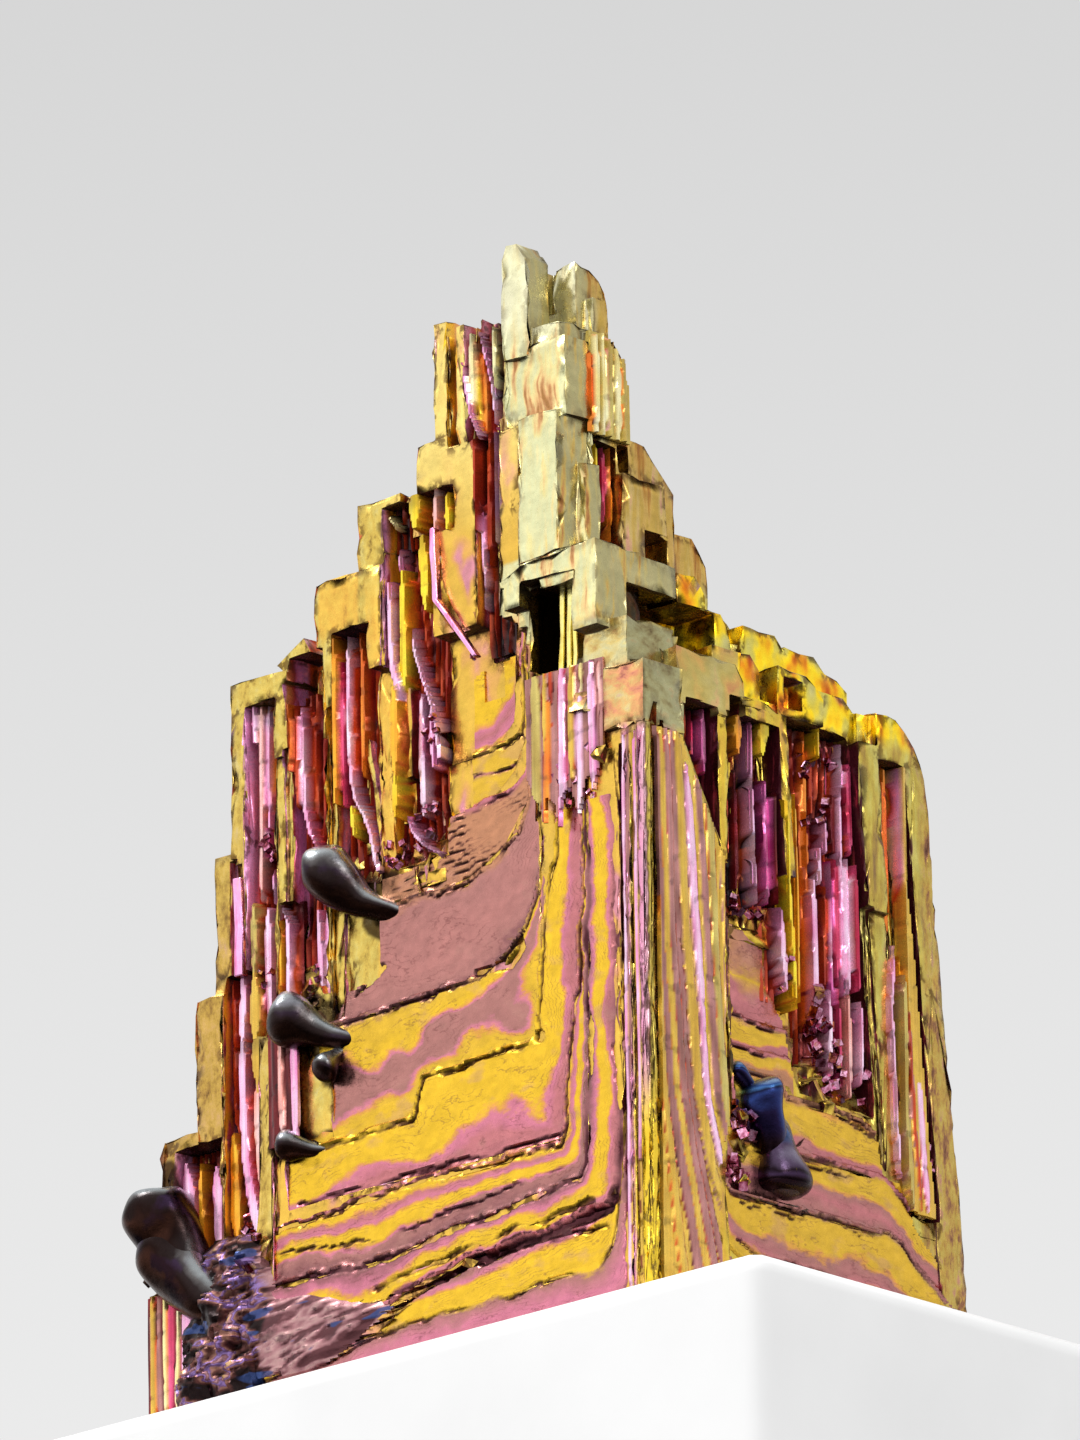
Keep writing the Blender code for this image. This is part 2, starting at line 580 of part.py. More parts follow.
def flare(mesh):
    """Spreads the crystal backwards below the top of the narrow wall."""
    front = -DEPTH / 2 * MM
    for vertex in mesh.vertices:
        below = max(0.0, WALL_TOP - vertex.co.z / MM)
        vertex.co.y = front + (vertex.co.y - front) * (1 + FLARE * below)


def centred(mesh):
    """Moves the crystal so that the origin lies under the middle of its box."""
    for axis in range(2):
        places = [vertex.co[axis] for vertex in mesh.vertices]
        middle = (min(places) + max(places)) / 2
        for vertex in mesh.vertices:
            vertex.co[axis] -= middle


def bismuth():
    """Oxide-tinted bismuth, as gold as most of the crystal looks."""
    made = bpy.data.materials.new("oxidised_bismuth")
    made.use_nodes = True
    shader = made.node_tree.nodes["Principled BSDF"]
    shader.inputs["Base Color"].default_value = (0.61, 0.42, 0.13, 1.0)
    shader.inputs["Metallic"].default_value = 0.9
    shader.inputs["Roughness"].default_value = 0.35
    return made


def main():
    for thing in list(bpy.data.objects):
        bpy.data.objects.remove(thing)
    masses = collection("masses")
    cuts = collection("cuts")
    ribs = collection("ribs")
    late_cuts = collection("late_cuts")

    stepped_mass(masses)
    corner_stages(masses)
    broad_columns(masses)
    tower(masses, cuts)
    tower_back_stairs(masses, cuts)
    narrow_wall(masses)
    narrow_limb(masses)
    corner_ribs(masses, cuts)
    broad_terraces(cuts)
    broad_channels(cuts)
    foot_grooves(cuts)
    tower_fins(masses, cuts)
    broken_spike(masses, cuts)
    narrow_terraces(cuts)
    narrow_channels(cuts, ribs)
    back_channels(cuts)
    terrace_pits(cuts)
    channel_ribs(ribs)
    bracket(ribs, cuts)
    crumpled_skin(ribs)
    crumbs(ribs)
    drips(ribs)
    sawn_foot(late_cuts)

    seed = block(masses, "seed", (2.0, 20.0), (2.0, 8.0), (SAWN, 12.0))
    masses.objects.unlink(seed)
    mesh = combined(seed.data, masses, "UNION")
    mesh = combined(mesh, cuts, "DIFFERENCE")
    mesh = combined(mesh, ribs, "UNION")
    mesh = combined(mesh, late_cuts, "DIFFERENCE")
    triangulated(mesh)
    flare(mesh)
    centred(mesh)
    mesh.materials.append(bismuth())
    crystal = bpy.data.objects.new("hopper_crystal", mesh)
    bpy.context.scene.collection.objects.link(crystal)


main()
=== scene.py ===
# %% [markdown]
# A bismuth hopper crystal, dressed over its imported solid.
# A hopper crystal grows faster along its edges than in the middle of its faces, so it climbs in
# square terraces. The metal itself is silvery: its colours come from a skin of oxide less than a
# thousandth of a millimetre thick, whose colour changes with its thickness.

# %% Load the frame
import math
import random

import bmesh
import bpy
import numpy as np
from mathutils import Matrix, Vector, noise
from mathutils.bvhtree import BVHTree

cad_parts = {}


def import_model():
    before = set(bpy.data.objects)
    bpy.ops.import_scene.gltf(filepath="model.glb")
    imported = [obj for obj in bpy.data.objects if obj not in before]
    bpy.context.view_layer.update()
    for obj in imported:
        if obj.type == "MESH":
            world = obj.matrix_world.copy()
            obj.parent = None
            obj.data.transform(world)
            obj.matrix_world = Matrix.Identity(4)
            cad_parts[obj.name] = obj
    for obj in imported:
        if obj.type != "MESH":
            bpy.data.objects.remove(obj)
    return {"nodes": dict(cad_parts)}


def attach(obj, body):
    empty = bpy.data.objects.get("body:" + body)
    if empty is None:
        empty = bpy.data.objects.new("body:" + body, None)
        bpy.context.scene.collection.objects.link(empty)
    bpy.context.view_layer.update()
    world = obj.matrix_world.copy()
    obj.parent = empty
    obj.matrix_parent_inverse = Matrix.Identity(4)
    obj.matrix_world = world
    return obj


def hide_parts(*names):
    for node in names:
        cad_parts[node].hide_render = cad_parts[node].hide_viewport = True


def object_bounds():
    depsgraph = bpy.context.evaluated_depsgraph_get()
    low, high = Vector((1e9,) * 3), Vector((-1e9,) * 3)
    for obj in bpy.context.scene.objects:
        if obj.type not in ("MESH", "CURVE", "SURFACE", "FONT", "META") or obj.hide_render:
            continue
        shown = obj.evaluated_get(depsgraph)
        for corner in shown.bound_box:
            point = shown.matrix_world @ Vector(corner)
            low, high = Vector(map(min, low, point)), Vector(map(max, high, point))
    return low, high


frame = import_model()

cad_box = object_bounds()
print("solid box in mm:", [[round(value * 1000, 1) for value in corner] for corner in cad_box])

# %% [markdown]
# Every place below is given as a grower would measure it: millimetres to the left of the corner
# post along the broad face, back along the narrow face, and up from the foot.

# %% Places on the crystal
MM = 0.001
POST_X = 18.23  # the corner post, from the middle of the crystal
POST_Y = -11.556
# what lies deeper than its face is seen further along and higher up it: two shares of the depth
BROAD_SLANT = (0.93, 0.444)
NARROW_SLANT = (1.076, 0.477)


def spot(left, back, up):
    """The point in metres that lies at these distances in millimetres from the post's foot."""
    return Vector((POST_X - left, POST_Y + back, up)) * MM


def behind_face(broad, run, rise, depth):
    """The point at this depth that is seen at (run, rise) on the broad or the narrow face."""
    slant = BROAD_SLANT if broad else NARROW_SLANT
    along, up = run + slant[0] * depth, rise + slant[1] * depth
    return spot(along, depth, up) if broad else spot(depth, along, up)


def select_only(thing):
    """Selects one object and makes it active, so that the operators act on it alone."""
    bpy.ops.object.select_all(action="DESELECT")
    thing.select_set(True)
    bpy.context.view_layer.objects.active = thing


def wander(place, size, seed):
    """Smooth noise from -1 to 1 whose bumps are about this size in millimetres."""
    return noise.noise(Vector(place) / size + Vector((seed * 7.3, seed * 3.1, seed * 5.7))) * 1.6


print("corner post stands at", spot(0, 0, 0))

# %% [markdown]
# Colours are picked as sRGB hex values, as a painter's swatch shows them, but shaders mix light
# in linear values, so one function turns the first into the second.

# %% From swatch to linear colour
def swatch(code):
    """An sRGB hex value as the linear colour that shaders use."""
    parts = [int(code[start:start + 2], 16) / 255 for start in (1, 3, 5)]
    return tuple(((part + 0.055) / 1.055) ** 2.4 if part > 0.04045 else part / 12.92
                 for part in parts) + (1.0,)


def add(tree, kind, links=None, **settings):
    """Adds one node: settings are its own properties, links fill its sockets."""
    made = tree.nodes.new(kind)
    for name, value in settings.items():
        setattr(made, name, value)
    for socket, source in (links or {}).items():
        if isinstance(source, bpy.types.NodeSocket):
            tree.links.new(source, made.inputs[socket])
        else:
            made.inputs[socket].default_value = source
    return made


def new_material(name):
    """An empty material: its node tree and its Principled shader."""
    material = bpy.data.materials.new(name)
    material.use_nodes = True
    return material, material.node_tree, material.node_tree.nodes["Principled BSDF"]


def fill_ramp(ramp, stops):
    """Sets the colours of a ramp from (place, swatch) pairs."""
    elements = ramp.color_ramp.elements
    while len(elements) > 1:
        elements.remove(elements[-1])
    elements[0].position, elements[0].color = stops[0][0], swatch(stops[0][1])
    for place, code in stops[1:]:
        element = elements.new(place)
        element.color = swatch(code)


# %% [markdown]
# Film helpers. The colours of a film are drawn as masks and bands in millimetres from the post.

# %% Film helpers
def math_node(tree, operation, first, second):
    """Two values put together by one operation, such as ADD or MAXIMUM."""
    return add(tree, "ShaderNodeMath", {0: first, 1: second}, operation=operation).outputs[0]


def axes(tree, direction):
    """The three numbers of a place or a direction."""
    return add(tree, "ShaderNodeSeparateXYZ", {0: direction}).outputs


def marked(tree, name):
    """The number that each point of a piece keeps under this name."""
    return add(tree, "ShaderNodeAttribute", attribute_name=name).outputs["Fac"]


def between(tree, value, low, high):
    """Rises smoothly from 0 at low to 1 at high."""
    return add(tree, "ShaderNodeMapRange", {0: value, 1: low, 2: high},
               interpolation_type="SMOOTHSTEP").outputs[0]


def product(tree, *factors):
    """Several masks multiplied together."""
    result = factors[0]
    for factor in factors[1:]:
        result = math_node(tree, "MULTIPLY", result, factor)
    return result


def either(tree, *masks):
    """The strongest of several masks."""
    result = masks[0]
    for mask in masks[1:]:
        result = math_node(tree, "MAXIMUM", result, mask)
    return result


def within(tree, value, low, high, soft=0.15):
    """1 where the value lies from low to high, with soft ends."""
    rising = between(tree, value, low - soft, low + soft)
    return product(tree, rising, between(tree, value, high + soft, high - soft))


def blend(tree, mask, under, over):
    """The colour over laid on the colour under, where the mask is 1."""
    return add(tree, "ShaderNodeMix", {0: mask, 6: under, 7: over}, data_type="RGBA").outputs[2]


def bands(tree, value, stops):
    """Colours along a value: stops are (value, swatch) pairs. A ramp holds 32, so long lists are split."""
    parts = [stops[start:start + 30] for start in range(0, len(stops), 29)]
    colour = None
    for part in parts:
        low, high = part[0][0], part[-1][0]
        if high <= low:
            continue
        share = add(tree, "ShaderNodeMapRange", {0: value, 1: low, 2: high})
        ramp = add(tree, "ShaderNodeValToRGB", {0: share.outputs[0]})
        fill_ramp(ramp, [((place - low) / (high - low), code) for place, code in part])
        if colour is None:
            colour = ramp.outputs[0]
        else:
            colour = blend(tree, math_node(tree, "GREATER_THAN", value, low), colour, ramp.outputs[0])
    return colour


def grain(tree, place, stretch, detail=2.0, rough=0.5):
    """Noise whose cells have these three sizes in millimetres."""
    scaled = add(tree, "ShaderNodeMapping", {"Vector": place, "Scale": tuple(1 / size for size in stretch)})
    return add(tree, "ShaderNodeTexNoise", {"Vector": scaled.outputs[0], "Scale": 1.0, "Detail": detail,
                                            "Roughness": rough}).outputs[0]


def pulled(tree, place, wave, shift):
    """The place, pushed about by soft noise of this wavelength and reach in millimetres."""
    soft = add(tree, "ShaderNodeTexNoise", {"Vector": place, "Scale": 1 / wave, "Detail": 3.0})
    push = add(tree, "ShaderNodeVectorMath", {0: soft.outputs["Color"], 1: (0.5, 0.5, 0.5)},
               operation="SUBTRACT")
    reach = add(tree, "ShaderNodeVectorMath", {0: push.outputs[0], "Scale": shift * 4}, operation="SCALE")
    return add(tree, "ShaderNodeVectorMath", {0: place, 1: reach.outputs[0]}, operation="ADD").outputs[0]


def start_film(name):
    """A metal whose colour is still to come, with the fields that its patterns read."""
    material, tree, shader = new_material(name)
    shader.inputs["Metallic"].default_value = 1.0
    source = add(tree, "ShaderNodeTexCoord")
    place = add(tree, "ShaderNodeMapping", {"Vector": source.outputs["Object"],
                                            "Location": (POST_X, -POST_Y, 0.0),
                                            "Scale": (-1000.0, 1000.0, 1000.0)})
    return material, tree, shader, place.outputs[0], axes(tree, source.outputs["Normal"])


def coat(piece, material):
    """Gives a piece this material and no other."""
    piece.data.materials.clear()
    piece.data.materials.append(material)


def finish_film(tree, shader, place, colour, ripple=0.25, gloss=(0.2, 0.42)):
    """Cloudy tints, dark pits and fine ripples over a film's colour, with its polish."""
    cloud = grain(tree, place, (0.9, 0.9, 0.7), 5.0, 0.65)
    tint = add(tree, "ShaderNodeMapRange", {0: cloud, 1: 0.3, 2: 0.7, 3: 0.88, 4: 1.12}).outputs[0]
    tinted = add(tree, "ShaderNodeVectorMath", {0: colour, "Scale": tint}, operation="SCALE").outputs[0]
    speckle = grain(tree, place, (0.3, 0.3, 0.36), 5.0, 0.75)
    pits = between(tree, speckle, 0.68, 0.75)
    worn = blend(tree, product(tree, pits, 0.7), tinted, swatch("#4A3020"))
    tree.links.new(worn, shader.inputs["Base Color"])
    fine = grain(tree, place, (0.42, 0.42, 0.3), 5.0, 0.65)
    height = math_node(tree, "SUBTRACT", fine, product(tree, pits, 0.6))
    bump = add(tree, "ShaderNodeBump", {"Strength": ripple, "Distance": 0.00006, "Height": height})
    tree.links.new(bump.outputs[0], shader.inputs["Normal"])
    polish = add(tree, "ShaderNodeMapRange", {0: speckle, 1: 0.35, 2: 0.7, 3: gloss[0], 4: gloss[1]})
    tree.links.new(polish.outputs[0], shader.inputs["Roughness"])

# %% [markdown]
# The skin is the solid itself with its loose triangles merged into whole terraces. No crystal has
# perfectly straight edges, so each long edge is cut into short lengths whose points are nudged a
# few hundredths of a millimetre, and a hair of a bevel lets each edge catch the light.

# %% Drips, as head, tail, radius, sag and how fast they taper
DRIPS = (
    ((23.6, -1.1, 29.5), (18.6, 1.6, 25.4), 1.5, 0.7, 1.0),
    ((26.5, -0.9, 21.6), (22.3, 1.0, 19.2), 1.4, 0.5, 1.0),
    ((23.6, -0.5, 17.2), (22.9, 1.2, 19.2), 0.85, 0.0, 1.0),
    ((26.9, -0.4, 14.1), (23.9, 0.9, 13.4), 0.9, 0.1, 1.0),
    ((36.4, -0.9, 13.0), (33.2, 0.3, 6.2), 2.0, -0.6, 0.3),
    ((36.05, -0.45, 11.0), (31.4, 0.5, 5.6), 1.95, 0.6, 0.3),
    ((0.1, 8.6, 13.9), (0.4, 10.2, 9.2), 1.35, 0.0, 0.3),
    ((0.3, 6.9, 14.4), (0.2, 8.8, 13.0), 0.5, 0.0, 0.5),
    ((0.35, 10.7, 7.7), (0.5, 10.1, 12.2), 1.85, 0.0, 0.6),
)

# %% The crystal's skin
EDGE_LENGTH = 0.9
EDGE_NUDGE = 0.055
solid = frame["nodes"]["hopper_crystal"]
corners = [vert.co for vert in solid.data.vertices]
solid_tree = BVHTree.FromPolygons(corners, [face.vertices for face in solid.data.polygons])
skin = bpy.data.objects.new("crystal_skin", solid.data.copy())
bpy.context.scene.collection.objects.link(skin)
select_only(skin)
bpy.ops.object.mode_set(mode="EDIT")
bpy.ops.mesh.select_all(action="SELECT")
bpy.ops.mesh.remove_doubles(threshold=0.00001)
bpy.ops.mesh.dissolve_limited(angle_limit=math.radians(0.6))
bpy.ops.mesh.quads_convert_to_tris(quad_method="BEAUTY", ngon_method="BEAUTY")
bpy.ops.object.mode_set(mode="OBJECT")
mesh = bmesh.new()
mesh.from_mesh(skin.data)
sharp = [edge for edge in mesh.edges if edge.calc_face_angle(0) > math.radians(20)]
for edge in sharp:
    length = edge.calc_length() / MM
    start = edge.verts[0]
    for number in range(int(length / EDGE_LENGTH), 1, -1):
        start = bmesh.utils.edge_split(edge, start, 1 / number)[1]
for vert in mesh.verts:
    for head, tail, radius, sag, taper in DRIPS:
        run = spot(*tail) - spot(*head)
        share = min(max((vert.co - spot(*head)).dot(run) / run.length_squared, 0), 1)
        axis = spot(*head) + run * share
        if (vert.co - axis).length < radius * 1.12 * MM and share < 0.9:
            vert.co = axis.lerp(vert.co, 0.84)
    place = vert.co / MM
    push = Vector([wander(place, 1.3, seed) + 0.6 * wander(place, 0.45, seed + 3) for seed in (1, 2, 3)])
    if place.z < 0.05:
        push.z = 0
    moved = vert.co + push * EDGE_NUDGE * MM
    vert.co = [min(max(value, low), high) for value, low, high in zip(moved, *cad_box)]
mesh.to_mesh(skin.data)
mesh.free()
bevel = skin.modifiers.new("edge", "BEVEL")
bevel.width = 0.05 * MM
bevel.segments = 1
bevel.limit_method = "ANGLE"
bevel.angle_limit = math.radians(32)
bevel.use_clamp_overlap = False
bpy.ops.object.modifier_apply(modifier="edge")

# %% [markdown]
# Wear. The edges of a grown crystal are nibbled, and its flats are never quite flat. The skin is
# cut into small triangles; each point then sinks by a few hundredths of a millimetre, and points
# on an edge sink further wherever a chip came off. Points on an edge are marked for the film.

# %% Worn edges and uneven flats
CELL_LENGTH = 1.3
DEEPEST_WEAR = 0.2
FURTHEST_STRAY = 0.24


def select_edges(choice):
    """Selects the edges of the skin that are marked in this list, and no others."""
    bpy.ops.object.mode_set(mode="EDIT")
    bpy.ops.mesh.select_mode(type="EDGE")
    bpy.ops.mesh.select_all(action="DESELECT")
    bpy.ops.object.mode_set(mode="OBJECT")
    skin.data.edges.foreach_set("select", choice)
    bpy.ops.object.mode_set(mode="EDIT")


def column(items, name, width, kind=float):
    """One property of many mesh items as an array."""
    values = np.empty(len(items) * width, kind)
    items.foreach_get(name, values)
    return values.reshape(-1, width)


def record(piece, name, values):
    """Keeps one number for each point of a piece, for its film to read."""
    attribute = piece.data.attributes.new(name, "FLOAT", "POINT")
    attribute.data.foreach_set("value", values.astype(np.float32))


select_only(skin)
for _ in range(6):
    places = column(skin.data.vertices, "co", 3)
    ends = column(skin.data.edges, "vertices", 2, np.int32)
    select_edges(np.linalg.norm(places[ends[:, 0]] - places[ends[:, 1]], axis=1) > CELL_LENGTH * MM)
    bpy.ops.mesh.subdivide(number_cuts=1)
    bpy.ops.mesh.select_all(action="SELECT")
    bpy.ops.mesh.quads_convert_to_tris(quad_method="SHORTEST_DIAGONAL", ngon_method="BEAUTY")
    bpy.ops.object.mode_set(mode="OBJECT")
bpy.ops.object.mode_set(mode="EDIT")
bpy.ops.mesh.select_all(action="DESELECT")
bpy.ops.mesh.edges_select_sharp(sharpness=math.radians(25))
bpy.ops.object.mode_set(mode="OBJECT")
edge_picked = column(skin.data.edges, "select", 1, bool)[:, 0]
ends = column(skin.data.edges, "vertices", 2, np.int32)
rim = np.zeros(len(skin.data.vertices))
rim[ends[edge_picked].ravel()] = 1
places = column(skin.data.vertices, "co", 3)
outward = column(skin.data.vertices, "normal", 3)


def skin_noise(size, seed, flat=1.0):
    """Noise at every point of the skin. Where flat is below 1, its bumps are wider than tall."""
    return np.array([wander((x * flat, y * flat, z), size, seed) for x, y, z in places / MM])


coarse, fine = skin_noise(1.6, 71), skin_noise(0.6, 72)
chips, folds = skin_noise(0.8, 73), skin_noise(0.8, 74, 0.3)
sink = 0.03 + 0.025 * coarse + 0.012 * fine
sink = sink + rim * (0.03 + 0.14 * np.clip((chips - 0.15) / 0.3, 0, 1))
sink = sink + 0.05 * np.clip(1 - 3 * np.abs(folds), 0, 1) * (places[:, 2] > 0.042)
sink[places[:, 2] < 0.05 * MM] = 0
near_drip = np.zeros(len(places))
for head, tail, radius, sag, taper in DRIPS:
    start, run = np.array(spot(*head)), np.array(spot(*tail) - spot(*head))
    share = np.clip((places - start) @ run / (run @ run), 0, 1)
    distance = np.linalg.norm(places - start - share[:, None] * run, axis=1) / MM
    near_drip = np.maximum(near_drip, np.clip((1.3 - distance / radius) / 0.2, 0, 1))
sink = np.maximum(sink, DEEPEST_WEAR * (near_drip > 0.9))
worn_places = places - outward * np.clip(sink, 0, DEEPEST_WEAR)[:, None] * MM
# a point that a bevel threw far off the solid goes back to it
for number, place in enumerate(worn_places):
    near, _, _, distance = solid_tree.find_nearest(Vector(place))
    if distance > FURTHEST_STRAY * MM and near_drip[number] == 0:
        worn_places[number] = near
skin.data.vertices.foreach_set("co", np.clip(worn_places, *cad_box).ravel())
record(skin, "rim", rim)
record(skin, "near_drip", near_drip)
bpy.ops.object.shade_smooth_by_angle(angle=math.radians(30))
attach(skin, "root")
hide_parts("hopper_crystal")
print("skin faces:", len(skin.data.polygons))

# %% [markdown]
# Growth lines. Each terrace of a hopper face ends in a ledge shaped like an L, and the film's
# colour follows the same lines. They are listed from the outermost ledge to the innermost, as
# points from the far end along the foot of the L to its corner and up its side.

# %% Growth lines of the broad face, as (left, up)
BROAD_LINES = (
    [(40, 0.9), (24, 1.3), (20, 2.0), (16, 2.35), (10, 2.2), (7, 2.5), (3.6, 2.5), (2.8, 3.2), (2.5, 4.2),
     (2.1, 7.0), (1.75, 11), (1.6, 80)],
    [(40, 1.9), (24, 2.0), (21, 2.4), (18, 3.5), (14, 4.5), (8, 5.1), (4.6, 5.5), (2.9, 5.7), (2.3, 6.6),
     (2.0, 10), (1.8, 80)],
    [(40, 6.4), (28, 6.3), (19, 6.1), (15, 6.7), (9, 7.2), (5, 7.7), (4.5, 8.5), (4.25, 12), (4.15, 24),
     (4.1, 80)],
    [(40, 9.2), (26, 9.4), (20, 9.8), (16, 9.9), (6.4, 9.8), (6.2, 10.4), (6.0, 14), (5.3, 17.6),
     (4.9, 18.2), (4.8, 21), (4.5, 23), (4.4, 80)],
    [(40, 13.2), (22, 13.4), (17.4, 13.6), (17.1, 14.4), (16.6, 15.7), (8.5, 16.0), (8.15, 16.5),
     (7.95, 20), (7.3, 24), (6.6, 27), (6.3, 80)],
    [(40, 20.0), (21, 20.1), (12.6, 20.5), (11, 21.1), (9.4, 22.4), (8.6, 23.6), (8.0, 25.4), (7.7, 28),
     (7.6, 80)],
    [(40, 26.0), (20.4, 26.0), (14, 26.0), (11.6, 26.6), (9.6, 28.0), (8.8, 30), (8.4, 80)],
    [(40, 30.2), (16.5, 30.2), (13, 30.2), (10.5, 30.6), (9.2, 31.2), (8.8, 80)],
    [(40, 32.0), (15, 31.9), (12, 32.1), (9.6, 32.1), (9.1, 80)],
    [(40, 33.3), (14.3, 33.2), (11, 33.3), (9.7, 33.6), (9.3, 80)],
    [(40, 34.7), (14, 34.7), (12, 34.8), (10.6, 36.2), (9.8, 38), (9.6, 80)],
)
BROAD_STEPS = (2, 3, 4, 5, 6, 7, 9)  # the lines where the solid steps back
LEVEL = 0.21  # how far the face steps back at each of them
GRID = 0.15  # the cell of the two faces' relief panels
PROUD = 0.05  # how far a panel stands in front of the solid's face

# %% Growth lines of the narrow face, as (back, up)
NARROW_LINES = (
    [(40, 2.2), (9, 2.6), (6.0, 3.8), (4.7, 6.0), (3.9, 9.0), (3.2, 13), (2.5, 19), (2.1, 80)],
    [(40, 2.2), (25, 3.4), (23, 4.5), (19.6, 7.0), (18.8, 7.2), (6.2, 7.1), (5.7, 8.2), (5.2, 12),
     (5.0, 20), (4.7, 80)],
    [(40, 5), (22.4, 7.4), (20.2, 9.6), (18.8, 10.3), (7.4, 10.3), (6.8, 10.9), (6.6, 14), (6.45, 80)],
    [(40, 9), (20.8, 10.0), (18.6, 12.6), (17.2, 13.3), (11.3, 13.4), (10.8, 14.2), (7.1, 14.3),
     (6.8, 15), (6.7, 80)],
    [(40, 13), (17.4, 13.9), (14.2, 15.3), (13.4, 15.5), (7.1, 15.5), (6.9, 16), (6.85, 80)],
    [(40, 15), (14.2, 16.2), (12.6, 17.1), (7.2, 17.3), (7.05, 17.8), (7.0, 80)],
    [(40, 19), (13, 19.2), (7.5, 20.0), (7.3, 20.6), (7.2, 80)],
)
NARROW_STEPS = (1, 2, 3, 4, 5)
print("growth lines:", len(BROAD_LINES), "broad,", len(NARROW_LINES), "narrow")

# %% [markdown]
# A relief panel is the outermost skin of one face: a fine sheet of metal whose points are moved in
# and out, so that the ledges, cracks and ripples are real shape. It is laid over the solid's own
# terraces, steps back where they do, and gets a thickness, so that it is a closed piece.

# %% Distances to growth lines
def line_distance(run, rise, line):
    """How far each point lies from a growth line, in millimetres."""
    nearest = np.full(run.shape, 1e9)
    for (x0, y0), (x1, y1) in zip(line, line[1:]):
        length = (x1 - x0) ** 2 + (y1 - y0) ** 2
        share = np.clip(((run - x0) * (x1 - x0) + (rise - y0) * (y1 - y0)) / length, 0, 1)
        nearest = np.minimum(nearest, np.hypot(run - x0 - share * (x1 - x0), rise - y0 - share * (y1 - y0)))
    return nearest


def inside_outline(run, rise, outline):
    """Which points lie inside a closed outline."""
    odd = np.zeros(run.shape, bool)
    for (x0, y0), (x1, y1) in zip(outline, outline[1:] + outline[:1]):
        if y0 != y1:
            crossed = (y0 > rise) != (y1 > rise)
            odd ^= crossed & (run < (x1 - x0) * (rise - y0) / (y1 - y0) + x0)
    return odd


def inside_distance(run, rise, line):
    """Distance to a growth line, positive on its inner side, where the face lies deeper."""
    inner = inside_outline(run, rise, line + [(line[0][0], 80)])
    return np.where(inner, 1, -1) * line_distance(run, rise, line)


def growth(inner):
    """The place of each point among the lines: 3.4 is four tenths of the way from line 3 to line 4."""
    count = sum((distance > 0).astype(int) for distance in inner)
    value = np.zeros(count.shape)
    for number in range(len(inner) + 1):
        outer = np.abs(inner[number - 1]) if number > 0 else np.full(count.shape, 1.5)
        further = np.abs(inner[number]) if number < len(inner) else np.full(count.shape, 4.0)
        share = outer / (outer + further + 1e-6)
        if number == 0:
            share = np.clip(1 - further / 3.0, 0, 1)
        value = np.where(count == number, number + share, value)
    return value


def step_up(value, low, high):
    """Rises smoothly from 0 at low to 1 at high."""
    share = np.clip((value - low) / (high - low), 0, 1)
    return share * share * (3 - 2 * share)


def noise_field(run, rise, size, seed, stretch=1.0):
    """The wander function at many points of a face at once."""
    return np.array([wander((a / stretch, b, 0), size, seed) for a, b in zip(run, rise)])


# %% A relief panel
def relief_sheet(name, low, high, cell, outline, broad):
    """A fine grid over part of a face, trimmed to an outline. It also gives its points as (run, rise)."""
    bpy.ops.object.select_all(action="DESELECT")
    size = ((high[0] - low[0]), (high[1] - low[1]))
    middle = ((high[0] + low[0]) / 2, (high[1] + low[1]) / 2)
    where = spot(middle[0], 0, middle[1]) if broad else spot(0, middle[0], middle[1])
    turned = (math.radians(90), 0, 0 if broad else math.radians(90))
    bpy.ops.mesh.primitive_grid_add(x_subdivisions=round(size[0] / cell),
            y_subdivisions=round(size[1] / cell),
                                    size=1, location=where, rotation=turned)
    sheet = bpy.context.object
    sheet.name = name
    sheet.scale = (size[0] * MM, size[1] * MM, MM)
    bpy.ops.object.transform_apply()
    run, rise = sheet_points(sheet, broad)
    inside = inside_outline(run, rise, outline)
    bpy.ops.object.mode_set(mode="EDIT")
    bpy.ops.mesh.select_mode(type="VERT")
    bpy.ops.mesh.select_all(action="DESELECT")
    bpy.ops.object.mode_set(mode="OBJECT")
    sheet.data.vertices.foreach_set("select", ~inside)
    bpy.ops.object.mode_set(mode="EDIT")
    bpy.ops.mesh.delete(type="VERT")
    bpy.ops.object.mode_set(mode="OBJECT")
    return sheet, *sheet_points(sheet, broad)


def sheet_points(sheet, broad):
    """Each point of a sheet as millimetres along its face and up."""
    places = column(sheet.data.vertices, "co", 3) / MM
    return (POST_X - places[:, 0] if broad else places[:, 1] - POST_Y), places[:, 2]


def press(sheet, depth, broad, thickness):
    """Moves each point back by its depth in millimetres and gives the sheet a thickness."""
    places = column(sheet.data.vertices, "co", 3)
    if broad:
        places[:, 1] = (POST_Y + depth) * MM
    else:
        places[:, 0] = (POST_X - depth) * MM
    sheet.data.vertices.foreach_set("co", places.ravel())
    select_only(sheet)
    wall = sheet.modifiers.new("thickness", "SOLIDIFY")
    wall.thickness = thickness * MM
    wall.offset = -1
    bpy.ops.object.modifier_apply(modifier="thickness")
    bpy.ops.object.shade_smooth_by_angle(angle=math.radians(40))


def keep(piece):
    """Says where a finished piece belongs, after any point that leaves the solid's box is put back."""
    places = column(piece.data.vertices, "co", 3)
    piece.data.vertices.foreach_set("co", np.clip(places, *cad_box).ravel())
    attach(piece, "root")
    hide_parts("hopper_crystal")
    print(piece.name, "faces:", len(piece.data.polygons))


